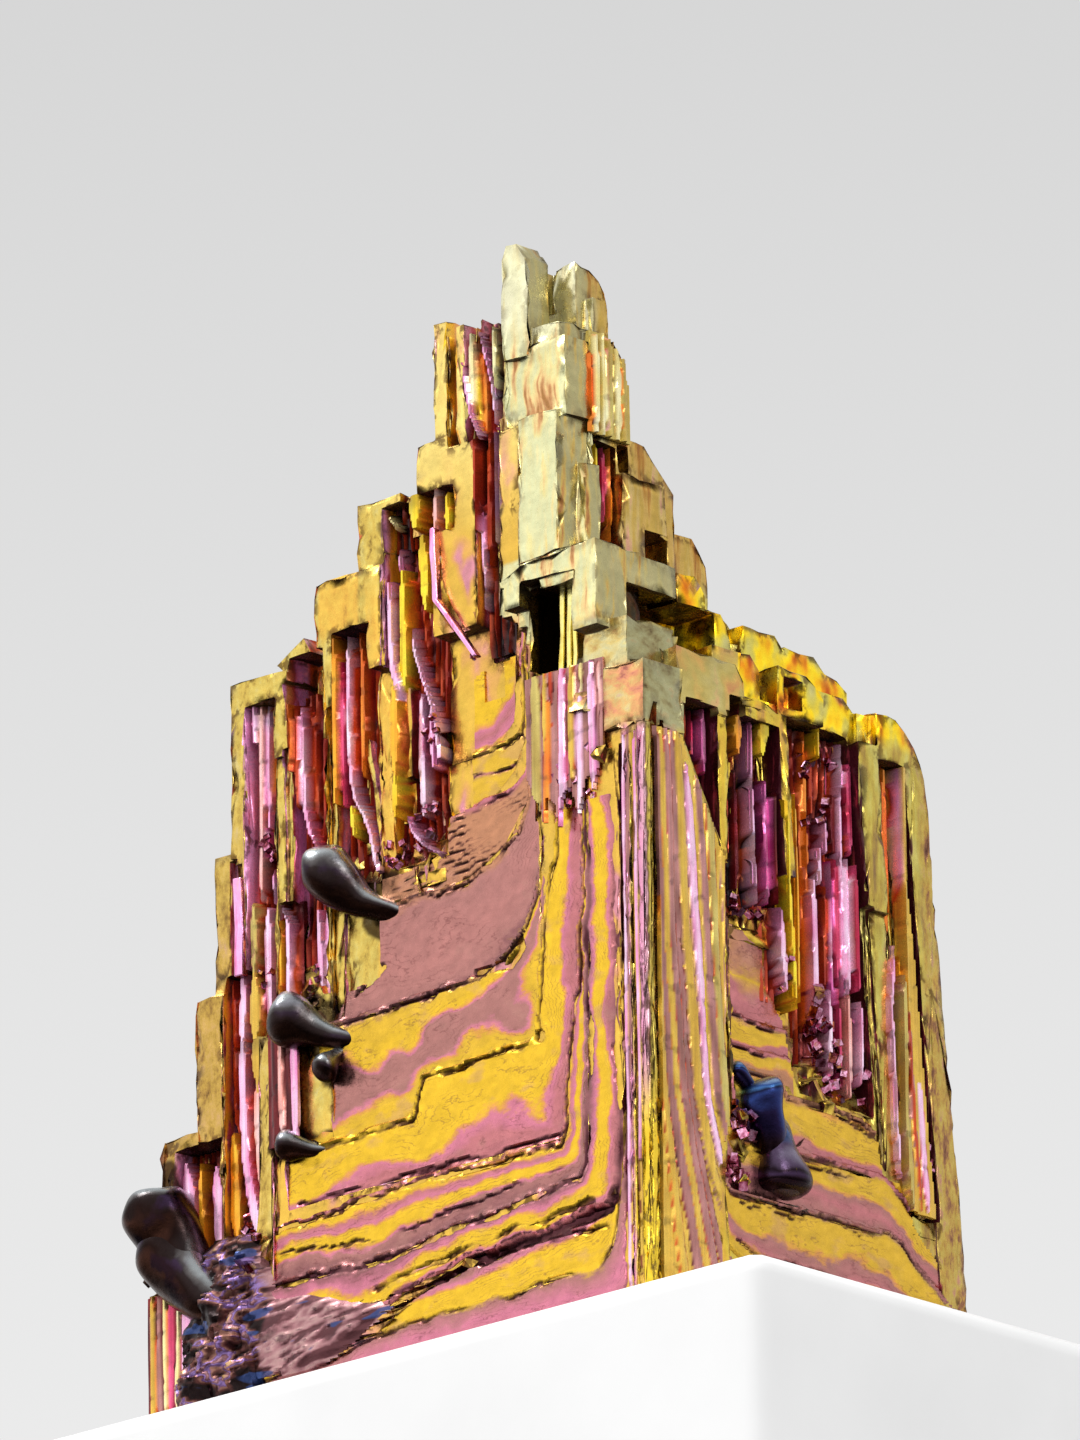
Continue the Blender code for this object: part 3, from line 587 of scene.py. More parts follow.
def relief(lines, steps, run, rise, cracks, nudge=0.16):
    """Depth, growth and crack values of a face's points from its growth lines."""
    bend_run = run + nudge * noise_field(run, rise, 1.5, 1) + 0.06 * noise_field(run, rise, 0.45, 2)
    bend_rise = rise + nudge * noise_field(run, rise, 1.7, 3) + 0.06 * noise_field(run, rise, 0.5, 4)
    inner = [inside_distance(bend_run, bend_rise, line) for line in lines]
    depth = sum(LEVEL * step_up(inner[number], 0.22, 0.36) for number in steps)
    where = growth(inner)
    part = where - np.floor(where)
    room = 4 * part * (1 - part)
    meander = 0.20 * noise_field(run, rise, 3.4, 5, 1.6) + 0.07 * noise_field(run, rise, 1.2, 6, 1.5)
    where = where + room * meander
    crack = np.zeros(run.shape)
    for line, width, deep, patch in cracks:
        distance = line_distance(bend_run, bend_rise, line)
        strength = np.clip(0.75 + patch * noise_field(run, rise, 2.2, 11 + len(line)), 0, 1.2)
        hollow = strength * (1 - step_up(distance, width * 0.35, width))
        crack = np.maximum(crack, hollow)
        depth = np.maximum(depth, depth + hollow * deep)
        depth = depth - 0.05 * np.exp(-((distance - width * 1.5) / (width * 0.8)) ** 2) * strength
    ripple = np.sin(where * 26 + 2 * noise_field(run, rise, 2.5, 8))
    ripple = ripple * np.clip(noise_field(run, rise, 3.0, 9) + 0.3, 0, 1)
    depth = depth + 0.012 * ripple + 0.02 * noise_field(run, rise, 0.6, 10)
    depth = depth + 0.03 * noise_field(run, rise, 2.4, 12)
    return depth, where, np.clip(crack, 0, 1)


# %% Relief of the broad face
BROAD_OUTLINE = [(1.55, 0.5), (28.3, 0.5), (28.3, 9.3), (27.1, 10.4), (27.1, 20.3), (23.3, 20.9),
                 (22.6, 22.0), (20.2, 22.3), (20.1, 27.8), (15.3, 28.1), (15.1, 30.2), (13.6, 30.4),
                 (13.6, 37.8), (12.7, 38.2), (12.7, 36.2), (11.4, 36.2), (11.4, 38.2), (10.2, 38.4),
                 (10.2, 40.0), (8.45, 40.0), (8.45, 28.5), (1.55, 28.5)]
sheet, run, rise = relief_sheet("broad_face_relief", (1.5, 0.45), (28.35, 40.1), GRID, BROAD_OUTLINE, True)
cracks = [
    (BROAD_LINES[0], 0.16, 0.10, 0.6), (BROAD_LINES[1], 0.42, 0.42, 0.5), (BROAD_LINES[2], 0.24, 0.2, 0.6),
    (BROAD_LINES[3], 0.17, 0.16, 0.4), (BROAD_LINES[4], 0.17, 0.16, 0.5), (BROAD_LINES[5], 0.15, 0.12, 0.7),
    (BROAD_LINES[6], 0.12, 0.08, 0.7), (BROAD_LINES[7], 0.14, 0.1, 0.7), (BROAD_LINES[8], 0.12, 0.08, 0.7),
    (BROAD_LINES[9], 0.12, 0.1, 0.6),
    ([(26, 10.6), (15, 10.5), (6.4, 10.5)], 0.15, 0.1, 0.5),
    ([(27.5, 8.2), (20, 7.4), (14, 7.9), (6, 8.6)], 0.12, 0.06, 0.8),
    ([(20, 4.7), (14, 5.3), (9, 5.9), (4, 6.2)], 0.2, 0.16, 0.9),
    ([(19, 3.9), (12, 4.9), (6, 4.9), (3, 4.6)], 0.18, 0.14, 0.9),
    ([(13.0, 20.9), (10.4, 20.75), (9.7, 21.4), (9.7, 22.0)], 0.34, 0.3, 0.2),
    ([(21.2, 22.2), (19.8, 22.9)], 0.2, 0.15, 0.2),
    ([(22, 21.6), (20.4, 22.4)], 0.16, 0.15, 0.2),
    ([(1.62, 1.0), (1.62, 30)], 0.2, 0.3, 0.3),
    ([(8.2, 16.2), (8.3, 16.3)], 0.34, 0.5, 0.0),
]
streaks = [((20.2 - 0.35 * n, 26.2 + 0.42 * n), (14.5 - 0.1 * n, 26.3 + 0.45 * n), (9.4, 27.6 + 0.35 * n))
           for n in range(9)]
cracks += [(list(streak), 0.09, 0.05, 0.9) for streak in streaks]
depth, where, crack = relief(BROAD_LINES, BROAD_STEPS, run, rise, cracks)
record(sheet, "growth", where)
record(sheet, "crack", crack)
press(sheet, depth - PROUD, True, 0.3)
keep(sheet)
broad_relief = sheet

# %% Relief of the narrow face
NARROW_OUTLINE = [(2.4, 2.0), (25.2, 2.0), (25.0, 3.6), (23.3, 6.2), (21.0, 8.4), (20.8, 10.4),
                  (19.0, 10.6), (18.3, 13.6), (12.2, 13.9), (11.8, 18.0), (10.6, 19.4), (10.3, 21.6),
                  (9.0, 22.4), (6.55, 22.6), (6.35, 25.0), (2.4, 32.6)]
sheet, run, rise = relief_sheet("narrow_face_relief", (2.3, 1.9), (25.3, 32.7), GRID, NARROW_OUTLINE, False)
cracks = [
    (NARROW_LINES[0], 0.2, 0.2, 0.3), (NARROW_LINES[1], 0.17, 0.14, 0.4), (NARROW_LINES[2], 0.15, 0.12, 0.5),
    (NARROW_LINES[3], 0.15, 0.12, 0.5), (NARROW_LINES[4], 0.12, 0.1, 0.6), (NARROW_LINES[5], 0.12, 0.1, 0.6),
    ([(24.4, 3.7), (14, 4.0), (8, 4.1), (6.6, 4.6)], 0.16, 0.1, 0.7),
    ([(3.6, 14), (3.0, 22), (2.7, 30)], 0.1, 0.06, 0.8),
    ([(13.9, 13.6), (18.6, 12.5)], 0.14, 0.1, 0.7),
    ([(16.5, 9.9), (7, 9.9)], 0.1, 0.06, 0.9),
    ([(16.5, 6.8), (7, 6.7)], 0.1, 0.06, 0.9),
]
depth, where, crack = relief(NARROW_LINES, NARROW_STEPS, run, rise, cracks, 0.12)
record(sheet, "growth", where)
record(sheet, "crack", crack)
press(sheet, depth - PROUD, False, 0.3)
keep(sheet)
narrow_relief = sheet

# %% [markdown]
# Drips. Melt that clung to the crystal as it was lifted from the pot ran together and set in round
# drops with thin tails. Each is a small disc, pushed along the drop's path ring by ring, widened
# and narrowed as it goes, and then smoothed, because surface tension leaves no edge on a drop.

# %% Frozen drips
SWELL = ((0.0, 0.36), (0.03, 0.66), (0.09, 0.9), (0.17, 1.02), (0.28, 1.0), (0.39, 0.8), (0.51, 0.58),
         (0.7, 0.44), (0.9, 0.4), (1.03, 0.28))


def joined(parts, name):
    """Several objects made into one piece."""
    bpy.ops.object.select_all(action="DESELECT")
    for part in parts:
        part.select_set(True)
    bpy.context.view_layer.objects.active = parts[0]
    bpy.ops.object.join()
    parts[0].name = name
    return parts[0]


def frozen_drip(head, tail, radius, sag, taper):
    """One drop: a disc pushed from its head to its tail."""
    start = spot(*head)
    run = spot(*tail) - start
    swell = [(share, width ** taper if 0.2 < share < 1 else width) for share, width in SWELL]
    radius = radius * 1.05 * MM
    bpy.ops.object.select_all(action="DESELECT")
    aimed = run.to_track_quat("Z", "Y").to_euler()
    bpy.ops.mesh.primitive_circle_add(vertices=12, radius=radius * swell[0][1], fill_type="NGON",
                                      location=start, rotation=aimed)
    drop = bpy.context.object
    bpy.ops.object.transform_apply()
    bpy.ops.object.mode_set(mode="EDIT")
    bpy.ops.mesh.select_all(action="SELECT")
    middle = start
    for (_, before), (share, width) in zip(swell, swell[1:]):
        after = start + run * share - Vector((0, 0, sag * math.sin(math.pi * min(share, 1)) * MM))
        bpy.ops.mesh.extrude_region_move(TRANSFORM_OT_translate={"value": after - middle})
        bpy.ops.transform.resize(value=(width / before,) * 3, center_override=after)
        middle = after
    bpy.ops.mesh.select_all(action="SELECT")
    bpy.ops.mesh.normals_make_consistent(inside=False)
    bpy.ops.object.mode_set(mode="OBJECT")
    lumpy = 0.24 if radius > 1.3 * MM else 0.1
    for vert in drop.data.vertices:
        vert.co += Vector([wander(vert.co / MM, 1.6, seed) for seed in (21, 22, 23)]) * lumpy * MM
    soft = drop.modifiers.new("soft", "SUBSURF")
    soft.levels = soft.render_levels = 2
    bpy.ops.object.modifier_apply(modifier="soft")
    bpy.ops.object.shade_smooth()
    return drop


drips = joined([frozen_drip(*drip) for drip in DRIPS], "frozen_drips")
keep(drips)

# %% [markdown]
# Strips. At the mouths of two channels and under the bracket stand slim bars that grew faster than
# the walls behind them. Each is a small plate pushed upwards from point to point, so it can kink.

# %% Strips
STRIP_THICKNESS = 0.5


def strip(path, width, depth):
    """A bar along a path, as seen on the broad face, standing this deep behind it."""
    places = [behind_face(True, run, rise, depth) for run, rise in path]
    bpy.ops.object.select_all(action="DESELECT")
    bpy.ops.mesh.primitive_plane_add(size=1, location=places[0])
    bar = bpy.context.object
    bar.scale = (width * MM, STRIP_THICKNESS * MM, MM)
    bpy.ops.object.transform_apply()
    bpy.ops.object.mode_set(mode="EDIT")
    bpy.ops.mesh.select_all(action="SELECT")
    for before, after in zip(places, places[1:]):
        steps = max(1, round((after - before).length / MM / 1.6))
        for _ in range(steps):
            bpy.ops.mesh.extrude_region_move(TRANSFORM_OT_translate={"value": (after - before) / steps})
    bpy.ops.mesh.select_all(action="SELECT")
    bpy.ops.mesh.normals_make_consistent(inside=False)
    bpy.ops.object.mode_set(mode="OBJECT")
    for vert in bar.data.vertices:
        vert.co += Vector([wander(vert.co / MM, 1.1, seed) for seed in (31, 32, 33)]) * 0.06 * MM
    bevel = bar.modifiers.new("edge", "BEVEL")
    bevel.width = 0.09 * MM
    bevel.segments = 2
    bpy.ops.object.modifier_apply(modifier="edge")
    return bar


ROSE_STRIPS = (
    # path as seen on the face from its foot, width, depth
    ([(11.9, 38.3), (13.4, 40.3), (14.9, 42.2), (15.0, 46.3)], 0.34, 0.1),
    ([(29.8, 24.2), (29.85, 29.8)], 0.6, 0.0),
)
GOLD_STRIPS = (
    ([(5.75, 34.8), (5.5, 38.0), (5.4, 41.0)], 0.34, 0.4),
    ([(5.15, 34.4), (4.95, 38.0), (4.9, 41.0)], 0.36, 0.35),
    ([(4.6, 35.4), (4.45, 41.0)], 0.3, 0.4),
)
rose_strips = joined([strip(*bar) for bar in ROSE_STRIPS], "rose_strips")
gold_strips = joined([strip(*bar) for bar in GOLD_STRIPS], "gold_strips")
keep(rose_strips)
keep(gold_strips)

# %% [markdown]
# Crumpled skin. Where the last melt drained off the lower far corner, its oxide skin was left
# behind and wrinkled like foil. It is a fine sheet that lies on the solid and is pushed up into
# sharp folds by ridged noise: noise folded over at zero makes a crease.

# %% Crumpled skin
def solid_depth(run, rise):
    """How deep the solid lies behind the broad face at a point."""
    hit = solid_tree.ray_cast(spot(run, -20, rise), Vector((0, 1, 0)))[0]
    return 3.0 if hit is None else hit.y / MM - POST_Y


CRUMPLE_OUTLINE = [(35.2, 0.6), (35.4, 3.4), (34.4, 5.8), (34.4, 8.0), (32.6, 9.6), (29.4, 10.2),
                   (28.3, 9.2), (27.6, 7.2), (27.2, 5.9), (24.5, 5.6), (21.5, 4.6), (19.5, 4.0),
                   (18.4, 3.3), (20.5, 2.3), (22.0, 1.5), (24.0, 0.9), (29.6, 0.6)]
sheet, run, rise = relief_sheet("crumpled_skin", (18.2, 0.5), (35.6, 10.4), 0.14, CRUMPLE_OUTLINE, True)
ground = np.array([min(solid_depth(a, b), solid_depth(a + 0.3, b), solid_depth(a, b + 0.3))
                   for a, b in zip(run, rise)])
ground = np.clip(ground, -0.8, 1.2)
knot = step_up(run, 27.0, 29.5)
edge = step_up(line_distance(run, rise, CRUMPLE_OUTLINE + CRUMPLE_OUTLINE[:1]), 0.0, 0.9)
slant_rise = rise + 0.12 * run
long_folds = 1.6 * np.abs(noise_field(run, slant_rise, 0.6, 41, 4.6))
knot_folds = 1.6 * np.abs(noise_field(run - 0.6 * rise, rise, 1.5, 42, 1.6))
crease = 1 - long_folds * (1 - knot) - knot_folds * knot
creases = 1 - 1.5 * np.abs(noise_field(run + 1.6 * rise, rise, 0.45, 44, 2.6))
lumps = noise_field(run, rise, 2.2, 43)
fold = np.clip(0.6 * crease + 0.4 * creases, 0, 1) ** 1.5
shards = 1 - 1.6 * np.abs(noise_field(run + 0.5 * rise, rise, 0.55, 45))
knot_height = 0.22 * fold + 0.2 * lumps + 0.16 * np.clip(shards, 0, 1)
depth = ground - edge * (0.24 + 0.17 * fold + knot * knot_height) + 0.05
record(sheet, "fold", fold)
record(sheet, "knot", knot + 0.25 * lumps)
press(sheet, depth, True, 0.25)
keep(sheet)
crumpled = sheet

# %% [markdown]
# Crumbs. Small square crystals that broke loose or set last lie at the feet of the channels. One
# is modelled, with a hollow in its top and its front, and copied in many sizes and turns.

# %% Crumbs
bpy.ops.object.select_all(action="DESELECT")
bpy.ops.mesh.primitive_cube_add(size=1)
crumb = bpy.context.object
bpy.ops.object.mode_set(mode="EDIT")
bpy.ops.mesh.select_mode(type="FACE")
bpy.ops.mesh.select_all(action="DESELECT")
bpy.ops.object.mode_set(mode="OBJECT")
for face in crumb.data.polygons:
    face.select = face.normal.z > 0.5 or face.normal.y < -0.5
bpy.ops.object.mode_set(mode="EDIT")
bpy.ops.mesh.inset(thickness=0.16, use_individual=True)
bpy.ops.transform.translate(value=(0, 0.09, -0.09))
bpy.ops.object.mode_set(mode="OBJECT")
CRUMB_BEDS = (
    # broad face?, along, up, depth, size, how many
    (True, (15.4, 18.8), (27.8, 29.2), (0.7, 1.6), (0.25, 0.5), 16),
    (True, (14.8, 16.8), (30.0, 30.8), (0.6, 1.1), (0.2, 0.4), 8),
    (True, (15.0, 16.0), (33.0, 36.0), (0.5, 1.1), (0.2, 0.35), 7),
    (True, (22.4, 24.2), (21.4, 24.0), (0.7, 1.5), (0.2, 0.45), 12),
    (True, (27.4, 29.2), (22.6, 24.6), (0.4, 1.2), (0.2, 0.5), 9),
    (True, (27.2, 28.4), (30.2, 31.8), (0.5, 1.0), (0.2, 0.45), 7),
    (True, (2.6, 6.6), (28.4, 31.5), (0.0, 0.3), (0.2, 0.45), 22),
    (True, (28.6, 30.0), (8.6, 10.6), (0.2, 0.9), (0.25, 0.6), 10),
    (True, (29.0, 34.4), (1.0, 5.6), (-0.3, 0.1), (0.2, 0.4), 26),
    (True, (28.8, 33.6), (5.6, 9.6), (-0.6, 0.0), (0.2, 0.5), 16),
    (True, (11.9, 12.4), (37.4, 38.6), (0.5, 0.9), (0.15, 0.25), 4),
    (False, (12.6, 17.6), (13.8, 19.8), (0.4, 1.6), (0.25, 0.65), 52),
    (False, (6.9, 9.2), (22.5, 23.6), (0.4, 1.0), (0.25, 0.5), 10),
    (False, (10.6, 11.6), (19.2, 22.0), (0.1, 0.5), (0.2, 0.4), 8),
    (False, (6.0, 8.2), (10.3, 12.2), (-0.2, 0.3), (0.3, 0.6), 12),
    (False, (5.6, 7.6), (7.6, 9.4), (-0.2, 0.3), (0.3, 0.6), 10),
    (False, (21.2, 22.6), (8.4, 14.0), (0.1, 0.7), (0.2, 0.5), 16),
    (False, (12.4, 16.8), (29.0, 33.0), (0.9, 1.8), (0.25, 0.5), 18),
)
CRUMB_TURNS = (("X", 0.7), ("Y", 0.7), ("Z", 0.8))
chance = random.Random(5)
crumbs = []
for broad, along, rise, depth, size, count in CRUMB_BEDS:
    for _ in range(count):
        a, b, c = chance.uniform(*along), chance.uniform(*rise), chance.uniform(*depth)
        place = behind_face(broad, a, b, c)
        copy = bpy.data.objects.new("crumb", crumb.data.copy())
        bpy.context.scene.collection.objects.link(copy)
        tips = [Matrix.Rotation(chance.uniform(-reach, reach), 4, axis) for axis, reach in CRUMB_TURNS]
        turn = tips[0] @ tips[1] @ tips[2]
        grow = Matrix.Diagonal([chance.uniform(*size) * MM for _ in range(3)] + [1])
        copy.data.transform(Matrix.Translation(place) @ turn @ grow)
        crumbs.append(copy)
bpy.data.objects.remove(crumb)
crumbs = joined(crumbs, "small_crystals")
keep(crumbs)

# %% [markdown]
# Combs. A channel of a hopper is lined with upright ribs, each a plate that grew a little further
# than the next, and each with its own colour. They are modelled as a sheet across the channel
# whose points stand forward along every rib and fall back between them, so that the ribs run
# together at their feet as grown ones do. Every point keeps its rib's colour for the film to read.

# %% Colours of the ribs, each from a darker to a lighter film
TONES = {
    "soot": ("#0C0406", "#2C0C10"), "wine": ("#4C0E14", "#8C2024"), "rust": ("#A82C14", "#DC5420"),
    "ember": ("#E0681C", "#F8962C"), "amber": ("#F4941C", "#FFC030"), "gold": ("#FFC81C", "#FFE838"),
    "olive": ("#B89C4C", "#D0BC68"), "straw": ("#D0A43C", "#E4BC4C"), "cream": ("#F0DC8C", "#FCF4C4"),
    "blush": ("#F09484", "#FCBCB4"), "rose": ("#F08CC4", "#FFC8EC"), "pearl": ("#F49CD0", "#FFDCF2"),
    "cerise": ("#C02048", "#F06090"), "magenta": ("#C42C84", "#F874C4"), "mauve": ("#946058", "#C08480"),
}
HIGHLIGHTED_TONES = ("rose", "pearl", "blush", "magenta")  # films whose crests shine almost white


def film_tint(tone, run, rise, seed):
    """The colour of a film at many points, wandering between its two swatches."""
    low, high = (np.array(swatch(code)) for code in TONES[tone])
    share = np.clip(0.5 + 0.75 * noise_field(run, rise / 3.5, 0.7, seed), 0, 1)[:, None]
    return low + (high - low) * share


# %% A comb
def comb(broad, low, high, floor, floor_tone, ribs, outline=None, base=0.0):
    """Ribs are (path as seen on the face from its foot, width, crest depth, crest tone, flank tone)."""
    edge = 0.01
    outline = outline or [(low[0] - edge, low[1] - edge), (high[0] + edge, low[1] - edge),
                          (high[0] + edge, high[1] + edge), (low[0] - edge, high[1] + edge)]
    sheet, run, rise = relief_sheet("comb", low, high, 0.12, outline, broad)
    bent = run + 0.07 * noise_field(run, rise / 4, 1.3, 51) + 0.02 * noise_field(run, rise / 2, 0.5, 52)
    ground = floor(run, rise) if callable(floor) else np.full(run.shape, floor)
    tint = film_tint(floor_tone, run, rise, 53)
    # slim rust fins between the ribs
    waves = np.sin(bent * 12.5 + 3 * noise_field(run, rise / 5, 1.6, 65))
    fins = np.clip(waves + noise_field(run, rise / 4, 0.8, 66), 0, 1) * (ground > 0.5)
    fin_tint = film_tint("rust", run, rise, 67)
    tint = tint + (fin_tint - tint) * (0.8 * fins)[:, None]
    ground = ground - 0.3 * fins
    depth = ground.copy()
    tones = {tone for rib in ribs for tone in rib[3:]}
    films = {tone: film_tint(tone, run, rise, 54 + len(tone)) for tone in tones}
    slant = BROAD_SLANT if broad else NARROW_SLANT
    white = np.array((1.0, 0.94, 0.98, 1.0))
    for path, width, crest, tone, flank in ribs:
        crests = np.linspace(*crest, len(path)) if isinstance(crest, tuple) else np.full(len(path), crest)
        runs = [place[0] + slant[0] * deep for place, deep in zip(path, crests)]
        rises = [place[1] + slant[1] * deep for place, deep in zip(path, crests)]
        beyond = np.maximum(rises[0] - rise, 0) + np.maximum(rise - rises[-1], 0)
        wide = np.interp(rise, (rises[0], rises[-1]), width) if isinstance(width, tuple) else width
        wide = wide * np.clip(0.4 + 0.5 * np.minimum(rise - rises[0], rises[-1] - rise), 0.4, 1)
        away = np.hypot((bent - np.interp(rise, rises, runs)) / (wide / 2), beyond / 0.25)
        top = np.interp(rise, rises, crests)
        bump = top + 0.06 * wide * np.clip(away, 0, 1) ** 2 + (ground - top) * step_up(away, 0.76, 1.12)
        nearer = bump < depth
        # painted highlight: the crest of a rib in these films is mixed towards white
        crest_highlight = 0.45 * np.exp(-((away + 0.15) / 0.4) ** 2)[:, None] * (tone in HIGHLIGHTED_TONES)
        shade = films[tone] + (white - films[tone]) * crest_highlight
        shade = shade + (films[flank] - shade) * step_up(away, 0.66, 0.95)[:, None]
        depth = np.where(nearer, bump, depth)
        tint = np.where(nearer[:, None], shade, tint)
    nicks = step_up(noise_field(run, rise, 0.5, 61, 1.6), 0.66, 0.85)
    lines = np.sin(bent * 23 + 2.5 * noise_field(run, rise / 6, 0.9, 64))
    lines = lines + 0.6 * np.sin(bent * 41 + 2 * noise_field(run, rise / 5, 0.7, 68))
    # painted shade: the colour is darkened deep in a channel and under its roof
    dark = (0.1 if broad else 0.18) * step_up(depth, 0.7, 1.9)
    dark = dark + 0.45 * step_up(rise, high[1] - 1.4, high[1] - 0.3) * (ground > 0.5)
    depth = depth + 0.04 * nicks + 0.05 * noise_field(run, rise / 6, 0.8, 62) - 0.01 * lines
    tint = tint * ((1 - 0.35 * nicks + 0.1 * lines) * (1 - dark))[:, None]
    attribute = sheet.data.attributes.new("tint", "FLOAT_COLOR", "POINT")
    attribute.data.foreach_set("color", np.clip(tint, 0, 1).astype(np.float32).ravel())
    press(sheet, depth + base, broad, 0.25)
    bpy.ops.object.shade_smooth_by_angle(angle=math.radians(75))
    return sheet


